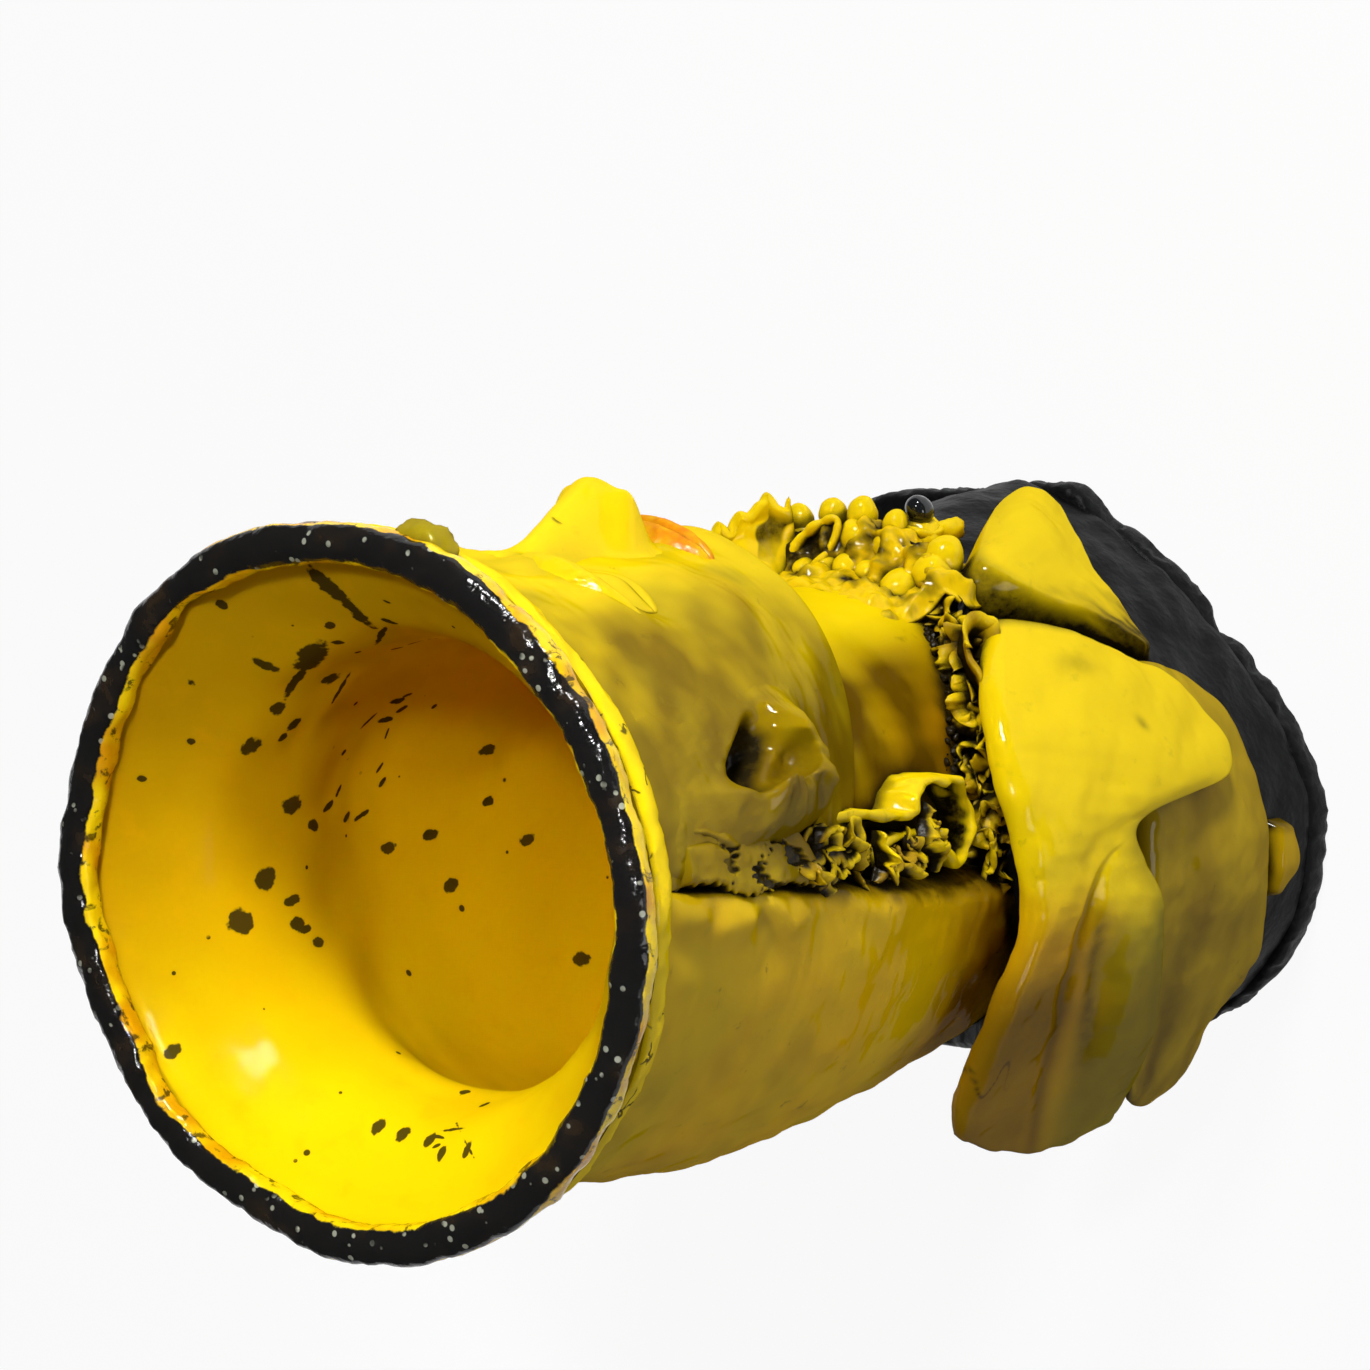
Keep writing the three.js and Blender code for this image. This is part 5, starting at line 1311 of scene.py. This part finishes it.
shell = clothShell(bigDrape, -1, 40, bigFolds, olive=bigOlive, amber=bigAmber, burnt=bigPaintedShade, stain=bigStainAndShade)
makePiece("bigDrape", shell, drapeGlaze, ["right_big_drape"])
shell = clothShell(lowerDrape, -1, 44, lowerFolds, burnt=lowerDarkAndFoldShade,
                   olive=lambda down, across: 0.7 - 0.2 * across)
makePiece("lowerDrape", shell, hoodGlaze, ["right_lower_drape"])
shell = clothShell(lapel, -1, 48, stain=lapelStain, burnt=lapelBurnt)
makePiece("lapel", shell, drapeGlaze, ["right_lapel"])
shell = clothShell(leafForm, -1, 52, burnt=lambda down, across: 0.6 + 0 * across, stain=leafStain)
makePiece("leafForm", shell, hoodGlaze, ["right_leaf"])
shell = clothShell(leftDrape, 1, 56, olive=lambda down, across: 0.2 + 0.4 * across)
makePiece("leftDrape", shell, drapeGlaze, ["left_drape"])
print("drapes laid")


# Ruff: thin torn curls stood up on the shelf between the mantle's edge and the neck

ruff = {
    "reach": 12, "reaches": (0.55, 1.15), "thickness": 1.6, "length": 24, "lengths": (0.6, 1.25),
    "torn": 0.24, "bands": [  # node, degrees, curls
    ("ruff_ribbon_1", -22, -45, 10), ("ruff_ribbon_2", -45, -69, 10), ("ruff_ribbon_3", -69, -106, 13),
    ("ruff_ribbon_4", 20, 53, 9), ("ruff_ribbon_5", 53, 100, 12)]}


def tornCurl(rng, centre, up, along, length, reach, thickness, torn, bend=None):
    # one curl: a short wavy or looping strip round `centre`
    steps = 56
    t = np.linspace(-0.5, 0.5, steps)
    across = unit(np.cross(up, along))
    bend = bend or rng.uniform(-2.2, 2.2)
    heading = bend * t * 2 + 0.5 * np.sin(2 * math.pi * t * rng.uniform(1, 2) + rng.uniform(0, 6))
    step = length / steps * (np.cos(heading)[:, None] * along + np.sin(heading)[:, None] * across)
    line = np.cumsum(step, axis=0)
    line = centre + line - line.mean(axis=0)
    seed = int(rng.integers(1, 9999))
    tall = reach * (0.35 + 0.65 * np.sin(math.pi * (t + 0.5)) ** 0.5) * (1 + torn * wander(line, 5, seed, 3))
    curl = rng.uniform(0.5, 1.7) * rng.choice([-1, 1]) + 0.5 * wander(line, 9, seed + 1, 2)
    thick = thickness * (1 + 0.25 * wander(line, 4, seed + 2, 2))
    normals = unit(up + 0.25 * wander(line, 10, seed + 3, 2)[:, None] * along)
    ridge = np.linspace(-0.3, 1.1, 10)
    lean = rng.uniform(-0.3, 0.3)
    return standingStrip(line, normals, np.maximum(tall, 1.0), thick, curl, lean, len(ridge), ridge=ridge)


def turnedCurl(rng, v, centre, up, towards, twist):
    # a curl whose length lies at `twist` to the direction square to `up` and `towards`
    around = unit(np.cross(up, towards))
    along = around * math.cos(twist) + np.cross(up, around) * math.sin(twist)
    return tornCurl(rng, centre, up, along, v["length"] * rng.uniform(*v["lengths"]),
                    v["reach"] * rng.uniform(*v["reaches"]), v["thickness"], v["torn"])


def ruffBand(v, start, stop, count, seed):
    rng = np.random.default_rng(seed)
    shells = []
    for k in range(count):
        angle = math.radians(mix(start, stop, (k + rng.uniform(0.1, 0.9)) / count))
        depth = rng.uniform(0.05, 0.85)
        top = float(mantleTop(angle))
        near, far = float(vessel.radius(angle, top)) + 2, float(mantle.radius(angle, top)) - 3
        radius = mix(near, max(far, near + 1), depth)
        h = top - 2.5 * (1 - depth) - 1.5
        outward = fromAxis(1, angle, 0)
        centre = outward * radius + [0, float(mantle.centre(top)) * depth, h]
        up = unit(np.array([0, 0, 1.0]) + outward * rng.uniform(-0.1, 0.75))
        shells.append(turnedCurl(rng, v, centre, up, outward, rng.uniform(-0.55, 0.55)))
    return shells


for number, (node, start, stop, count) in enumerate(ruff["bands"]):
    shells = ruffBand(ruff, start, stop, count, 100 + number)
    if node == "ruff_ribbon_2":  # the one large open loop
        angle = math.radians(-57)
        centre = vessel.place(angle, float(mantleTop(angle)) + 1, 9)
        up = unit(vessel.normal(angle, 140.0) + np.array([0, 0, 0.5]))
        along = unit(np.cross(up, [0, 0, 1.0]))
        rng = np.random.default_rng(77)
        shells.append(tornCurl(rng, centre, up, along, 44, 11, 2.0, 0.12, 2.9))
    makePiece(f"ruffCurls{number + 1}", shells, foldGlaze, [node])


creaseCurls = {"from": 254, "to": 166, "count": 24, "reach": 7, "reaches": (0.6, 1.1), "thickness": 1.3,
               "length": 20, "lengths": (0.6, 1.2), "torn": 0.2}


def makeCreaseCurls(v, side):  # torn crumbs and curls of clay down the crease between ear and collar
    rng = np.random.default_rng(140 + side)
    shells = []
    for k in range(v["count"]):
        h = mix(v["from"], v["to"], (k + rng.uniform(0.1, 0.9)) / v["count"])
        angle = side * (float(creaseAngle(h)) + rng.uniform(-0.16, 0.03) - (0.1 if h < 178 else 0))
        surface = mask if h > 205 else vessel
        lift = -1 if surface is mask else (6 if h > 170 else 3)
        centre = surface.place(angle, h, lift + rng.uniform(0, 3))
        up = unit(surface.normal(angle, h) + np.array([0, 0, 1.0]) * rng.uniform(-0.3, 0.3))
        twist = math.pi / 2 + side * rng.uniform(0.1, 0.9)
        shells.append(turnedCurl(rng, v, centre, up, [0, 0, 1.0], twist))
    return shells


for sideName, side in sides:
    makePiece(f"{sideName}CreaseCurls", makeCreaseCurls(creaseCurls, side), foldGlaze)
print("ruff curled")


# Small pieces round the front of the collar

collarBed = {"from": -34, "to": 36, "columns": 200, "rows": 60, "lines": [  # rise over the collar, lift
    (mantle, -16, -1.5), (mantle, -10, 3.5), (mantle, -2, 6.5), (between(0.55), 3, 5), (vessel, 8, 4.4),
    (vessel, 17, 1.8), (vessel, 27, -1.2)]}


def makeCollarBed(v):  # slip smeared from the collar's edge up onto the throat
    t = np.linspace(0, 1, v["columns"])
    angle = np.radians(mix(v["from"], v["to"], t))
    top = mantleTop(angle)
    grid = smoothLine([surface.place(angle, top + h, lift) for surface, h, lift in v["lines"]], v["rows"])
    normals = gridNormals(grid)
    down, _ = np.meshgrid(np.linspace(0, 1, v["rows"]), t, indexing="ij")
    ridges = 1.5 * np.cos(angle[None, :] * 38 + 2.5 * down) * swell(down - 0.5, 0.3)
    ends = rise(0, 0.07, t) * rise(1, 0.93, t)
    push = (ridges + 1.1 * wander(grid, 11, 66) + 0.4 * wander(grid, 4, 67)) * ends - 2.2 * (1 - ends)
    outward = np.sign(np.sum(normals * grid * [1, 1, 0.4], axis=-1, keepdims=True))
    outer = grid + normals * outward * push[..., None]
    # painted shadow: dark in the hollow under the collar flap
    hollow = rise(2, 14, np.degrees(angle))[None, :] * swell(down - 0.5, 0.2)
    stain = np.clip(0.6 * swell(down - 0.58, 0.2) + 0.5 * wander(grid, 9, 68) - 0.08 + 0.7 * hollow, 0, 0.95)
    return slabShell(outer, grid - normals * outward * 3.5, stain=stain, amber=0.25 + 0 * down)


makePiece("collarBed", makeCollarBed(collarBed), trimGlaze)
leafLoop = {"ends": [(16, -54, 113), (4.5, -69, 109)], "width": 9, "thickness": 3.0, "steps": 140,
            "corners": 14}


def makeLeafLoop(v):  # an open ring of clay laid from the throat to the pegs
    turn = circle(v["steps"])
    corner = circle(v["corners"])[None, :]
    low, high = (np.array(end, float) for end in v["ends"])
    out = unit(np.array([-0.3, -0.45, 0.85]))
    across = unit(np.cross(out, high - low))
    spreadOut = v["width"] / 2 * np.cos(turn) * (1 - 0.25 * np.sin(turn))
    middle = (low + high) / 2 + np.sin(turn)[:, None] * (high - low) / 2 + spreadOut[:, None] * across
    middle = middle + 0.5 * wander(middle, 12, 58)[:, None] * out
    ahead = unit(np.roll(middle, -1, axis=0) - np.roll(middle, 1, axis=0))
    side = np.cross(ahead, out)
    size = (v["thickness"] / 2 * (1 + 0.25 * wander(middle, 9, 60)))[:, None, None]
    oblong = np.cos(corner)[..., None] * side[:, None] + 1.8 * np.sin(corner)[..., None] * out
    return turnedShell(middle[:, None] + size * oblong)


collarFlap = {"long": 90, "wide": 70, "thickness": 3.2, "rows": [  # degrees, rise over the collar, lift
    [[18, 4, 2], [15.6, 6, 17], [13.8, 8, 26]],
    [[22, 15, 2], [22, 16, 17], [20, 18, 25]],
    [[27, 26, 1], [28.5, 27, 14], [27, 28, 22]]]}


def makeCollarFlap(v):  # a torn sheet that stands off the throat over a hollow, which the collar bed paints dark as shadow
    collar = body["mantleFrontHeight"]
    points = [[vessel.place(math.radians(a), collar + h, lift) for a, h, lift in row] for row in v["rows"]]
    grid = smoothLine(np.swapaxes(smoothLine(points, v["long"]), 0, 1), v["wide"])
    grid = np.swapaxes(grid, 0, 1)
    across, down = shares(v["long"], v["wide"])
    grid = grid + gridNormals(grid) * (0.9 * wander(grid, 14, 61, 2))[..., None]
    torn = across ** 3 * (1.2 + 1.2 * wander(flatPoints(down * 30, 0 * down), 8, 59, 2))
    grid = grid - (grid * [1, 1, 0] / np.linalg.norm(grid[..., :2], axis=-1)[..., None]) * torn[..., None] * 1.6
    dark = 0.9 * swell(across - 0.5, 0.25) * rise(-0.1, 0.3, wander(grid, 14, 60, 2))
    return pillow(grid, v["thickness"] * (1 + 0.12 * wander(grid, 12, 62, 2)), 1.5, stain=dark)


bead = {"angle": -10, "radius": 6.4}


def makeBezel(v):
    angle = math.radians(v["angle"])
    h = float(mantleTop(angle)) - 11
    out = mantle.normal(angle, h)
    middle = mantle.place(angle, h, 4)
    shells = [lumpShell(middle, out, v["radius"], v["radius"], 63, 20, 30, 0.08)]
    turn = circle(60)
    side = unit(np.cross(out, [0, 0, 1.0]))
    up = np.cross(side, out)
    around = np.cos(turn)[:, None] * side + np.sin(turn)[:, None] * up
    ring = middle + out * v["radius"] * 0.4 + around * v["radius"] * 0.8
    shells.append(lumpShell(mantle.place(angle - 0.05, h - 8, 5), [-0.15, -0.1, -1], 3.6, 8, 69, 20, 30, 0.12))
    corner = circle(12)[None, :, None]
    away = unit(ring - middle)[:, None]
    size = (1.5 * (1 + 0.3 * wander(ring, 6, 64)))[:, None, None]
    shells.append(turnedShell(ring[:, None] + size * (np.cos(corner) * away + np.sin(corner) * out), True))
    return shells


def makeBead(v):
    angle = math.radians(v["angle"])
    h = float(mantleTop(angle)) - 9
    along = unit(mantle.normal(angle, h) + np.array([0.5, 0, 0.8]))
    return lumpShell(mantle.place(angle, h, 12), along, 3.9, 4.8, 65, 26, 36, 0.03)


makePiece("leafLoop", makeLeafLoop(leafLoop), trimGlaze, ["leaf_loop"])
makePiece("collarFlap", makeCollarFlap(collarFlap), trimGlaze, ["collar_flap"])
makePiece("beadBezel", makeBezel(bead), trimGlaze, ["bead_bezel"])
makePiece("blackBead", makeBead(bead), beadBlack, ["black_bead"])


# Geometry Nodes: lumps of clay set on points that carry their own direction and size

class Tree(Nodes):
    def __init__(self, name, inputs):
        self.tree = bpy.data.node_groups.new(name, "GeometryNodeTree")
        panel = self.tree.interface
        panel.new_socket("Geometry", in_out="INPUT", socket_type="NodeSocketGeometry")
        for label, (kind, value) in inputs.items():
            socket = panel.new_socket(label, in_out="INPUT", socket_type=kind)
            if value is not None:
                socket.default_value = value
        panel.new_socket("Geometry", in_out="OUTPUT", socket_type="NodeSocketGeometry")
        self.entry = self.tree.nodes.new("NodeGroupInput")

    def given(self, label):
        return Wire(self, self.entry.outputs[label])

    def pointValue(self, name, kind):
        return self.add("GeometryNodeInputNamedAttribute", {"data_type": kind}, {"Name": name})


def lumpTree():
    tree = Tree("clay lumps", {
        "Lump Size": ("NodeSocketFloat", 0.004), "Stretch": ("NodeSocketFloat", 1.5),
        "Unevenness": ("NodeSocketFloat", 0.15), "Grain": ("NodeSocketFloat", 0.006),
        "Detail": ("NodeSocketInt", 4), "Glaze": ("NodeSocketMaterial", None)})
    ball = tree.add("GeometryNodeMeshIcoSphere", None, {"Radius": 1.0, "Subdivisions": tree.given("Detail")})
    toPoint = tree.add("FunctionNodeAlignRotationToVector", {"axis": "Z"}, {
        "Vector": tree.pointValue("out", "FLOAT_VECTOR")})
    size = tree.pointValue("size", "FLOAT") * tree.given("Lump Size")
    scale = tree.add("ShaderNodeCombineXYZ", None, {0: size, 1: size, 2: size * tree.given("Stretch")})
    lumps = tree.add("GeometryNodeInstanceOnPoints", None, {
        "Points": tree.given("Geometry"), "Instance": ball, "Rotation": toPoint, "Scale": scale})
    lumps = tree.add("GeometryNodeRealizeInstances", None, {0: lumps})
    grain = tree.maths("DIVIDE", 1.0, tree.given("Grain"))
    noise = tree.add("ShaderNodeTexNoise", None, {"Scale": grain, "Detail": 2.0})
    push = (noise - 0.62) * tree.given("Unevenness") * tree.given("Lump Size")
    offset = tree.add("ShaderNodeVectorMath", {"operation": "SCALE"}, {
        0: tree.add("GeometryNodeInputNormal"), "Scale": push})
    lumps = tree.add("GeometryNodeSetPosition", None, {"Geometry": lumps, "Offset": offset})
    lumps = tree.add("GeometryNodeSetMaterial", None, {"Geometry": lumps, "Material": tree.given("Glaze")})
    tree.add("NodeGroupOutput", None, {0: lumps})
    return tree.tree


def growOn(name, bed, tree, inputs):  # runs a tree on a bed mesh and keeps the result as a plain mesh
    holder = bpy.data.objects.new(name, bed)
    bpy.context.scene.collection.objects.link(holder)
    modifier = holder.modifiers.new("tree", "NODES")
    modifier.node_group = tree
    for item in tree.interface.items_tree:
        if item.name in inputs:
            modifier[item.identifier] = inputs[item.name]
    evaluated = holder.evaluated_get(bpy.context.evaluated_depsgraph_get())
    mesh = bpy.data.meshes.new_from_object(evaluated)
    bpy.data.objects.remove(holder)
    mesh.name = name
    return mesh


def pointBed(name, points, outs, sizes):
    bed = bpy.data.meshes.new(name + "Bed")
    bed.from_pydata((np.array(points) * mm).tolist(), [], [])
    out = bed.attributes.new("out", "FLOAT_VECTOR", "POINT")
    out.data.foreach_set("vector", np.array(outs, np.float32).ravel())
    bed.attributes.new("size", "FLOAT", "POINT").data.foreach_set("value", np.array(sizes, np.float32))
    return bed


clayLumps = lumpTree()
collarPegs = {"radius": 4.2, "pegs": [  # degrees, size, how far the tip stands over the mantle's edge
    (22, 1.0, 12), (13.7, 0.95, 16), (6.8, 1.0, 15), (0, 1.15, 14.3), (-7.4, 0.95, 13), (-21.5, 1.45, 15)]}


def makeCollarPegs(v):  # fat teeth side by side, their roots run together in the collar bed
    for number, (angle, size, tip) in enumerate(v["pegs"], 1):
        turn = math.radians(angle)
        h = float(mantleTop(turn)) - 1.5
        out = unit(fromAxis(1, turn, -0.1))
        root = mantle.place(turn, h, 0)
        reach = v["radius"] * size
        points = [root + out * (tip - reach * 1.25), root + out * (tip - reach * 2.6),
                  root + out * 1.5 + [0, 0, 2], vessel.place(turn, h + 7, 2.5)]
        outs = [out, out, unit(out + [0, 0, 0.5]), [0.1 * size, 0.15, 1]]
        bed = pointBed(f"collarPeg{number}", points, outs, [size, size * 0.95, size * 1.15, size])
        mesh = growOn(f"collarPeg{number}", bed, clayLumps, {
            "Lump Size": v["radius"] * mm, "Stretch": 1.25, "Unevenness": 0.6, "Grain": 9 * mm,
            "Glaze": trimGlaze})
        addPiece(f"collarPeg{number}", mesh, trimGlaze, [f"collar_peg_{number}"])


makeCollarPegs(collarPegs)
crumbs = {"count": 420, "size": 1.5, "seed": 9}


def makeCrumbs(v):  # crumbs of slip over the collar bed and down the creases
    rng = np.random.default_rng(v["seed"])
    points, outs, sizes = [], [], []
    for k in range(v["count"]):
        side = -1 if k % 5 < 3 else 1
        if k % 3:
            angle = side * math.radians(rng.uniform(14, 104))
            h = float(mantleTop(angle)) + rng.uniform(-2, 8)
            surface, lift = vessel, 0.2
        else:
            h = rng.uniform(154, 232)
            angle = side * (float(creaseAngle(h)) + rng.uniform(-0.12, 0.02))
            surface, lift = (mask if h > 212 else vessel), 0.3
        points.append(surface.place(angle, h, lift))
        outs.append(unit(surface.normal(angle, h) + rng.uniform(-0.5, 0.5, 3)))
        sizes.append(rng.uniform(0.4, 1.0) ** 1.5)
    bed = pointBed("crumbs", points, outs, sizes)
    mesh = growOn("crumbs", bed, clayLumps, {
        "Lump Size": v["size"] * mm, "Stretch": 1.2, "Unevenness": 1.2, "Grain": 2.5 * mm, "Glaze": foldGlaze,
        "Detail": 3})
    addPiece("crumbs", mesh, foldGlaze)


makeCrumbs(crumbs)
print("collar trimmed")


# Floor, light and camera

stage = {"floorSize": 9, "floorTone": 0.93, "backShare": 0.93, "worldLight": 0.1, "lamps": {
    # power, size, place, aim, spread in degrees
    "keyLight": (14, 0.28, (-0.35, -1.15, 0.85), (0, 0, 0.16), 180),
    "fillLight": (2.3, 0.5, (-1.3, 0.25, 0.7), (0, 0, 0.16), 180),
    "mouthLight": (0.11, 0.13, (-0.32, -0.42, 1.25), (0, 0.02, 0.3), 16)}}


def plainSheet(name, size, colour):
    mesh = bpy.data.meshes.new(name)
    half = size / 2
    corners = [(-half, -half, 0), (half, -half, 0), (half, half, 0), (-half, half, 0)]
    mesh.from_pydata(corners, [], [(0, 1, 2, 3)])
    sheet = bpy.data.objects.new(name, mesh)
    bpy.context.scene.collection.objects.link(sheet)
    paper = Glaze(name)
    matt = paper.add("ShaderNodeBsdfDiffuse", None, {"Color": colour})
    white = paper.add("ShaderNodeEmission")
    seen, shiny, through = (paper.add("ShaderNodeLightPath", out=f"Is {ray} Ray") for ray in (
        "Camera", "Glossy", "Transmission"))
    share = paper.add("ShaderNodeMath", {"operation": "ADD", "use_clamp": True}, {0: seen, 1: shiny + through})
    share = share * stage["backShare"]
    both = paper.add("ShaderNodeMixShader", None, {0: share, 1: matt, 2: white})
    paper.add("ShaderNodeOutputMaterial", None, {"Surface": both})
    mesh.materials.append(paper.material)


def softLight(name, power, size, position, aim, spreadAngle):
    light = bpy.data.lights.new(name, "AREA")
    light.shape = "DISK"
    light.size = size
    light.spread = math.radians(spreadAngle)
    light.energy = power
    lamp = bpy.data.objects.new(name, light)
    bpy.context.scene.collection.objects.link(lamp)
    lamp.location = position
    lamp.rotation_euler = (Vector(aim) - Vector(position)).to_track_quat("-Z", "Y").to_euler()


plainSheet("floor", stage["floorSize"], (stage["floorTone"],) * 3 + (1.0,))
for lampName, numbers in stage["lamps"].items():
    softLight(lampName, *numbers)
world = bpy.data.worlds.new("studio")
bpy.context.scene.world = world
world.use_nodes = True
world.node_tree.nodes["Background"].inputs["Color"].default_value = (1, 1, 1, 1)
world.node_tree.nodes["Background"].inputs["Strength"].default_value = stage["worldLight"]

view = {"place": (-0.5795, -0.1882, 1.0387), "right": (-0.82542, 0, -0.56453),
        "up": (0.08468, -0.98869, -0.12381), "lens": 102.48, "film": 36}


def makeCamera(v):
    camera = bpy.data.cameras.new("camera")
    camera.sensor_width = v["film"]
    camera.lens = v["lens"]
    camera.clip_start = 0.01
    holder = bpy.data.objects.new("camera", camera)
    bpy.context.scene.collection.objects.link(holder)
    right, up = Vector(v["right"]).normalized(), Vector(v["up"]).normalized()
    turned = Matrix((right, up, right.cross(up))).transposed().to_4x4()
    holder.matrix_world = Matrix.Translation(v["place"]) @ turned
    bpy.context.scene.camera = holder


makeCamera(view)
bpy.context.scene.view_settings.view_transform = "Standard"
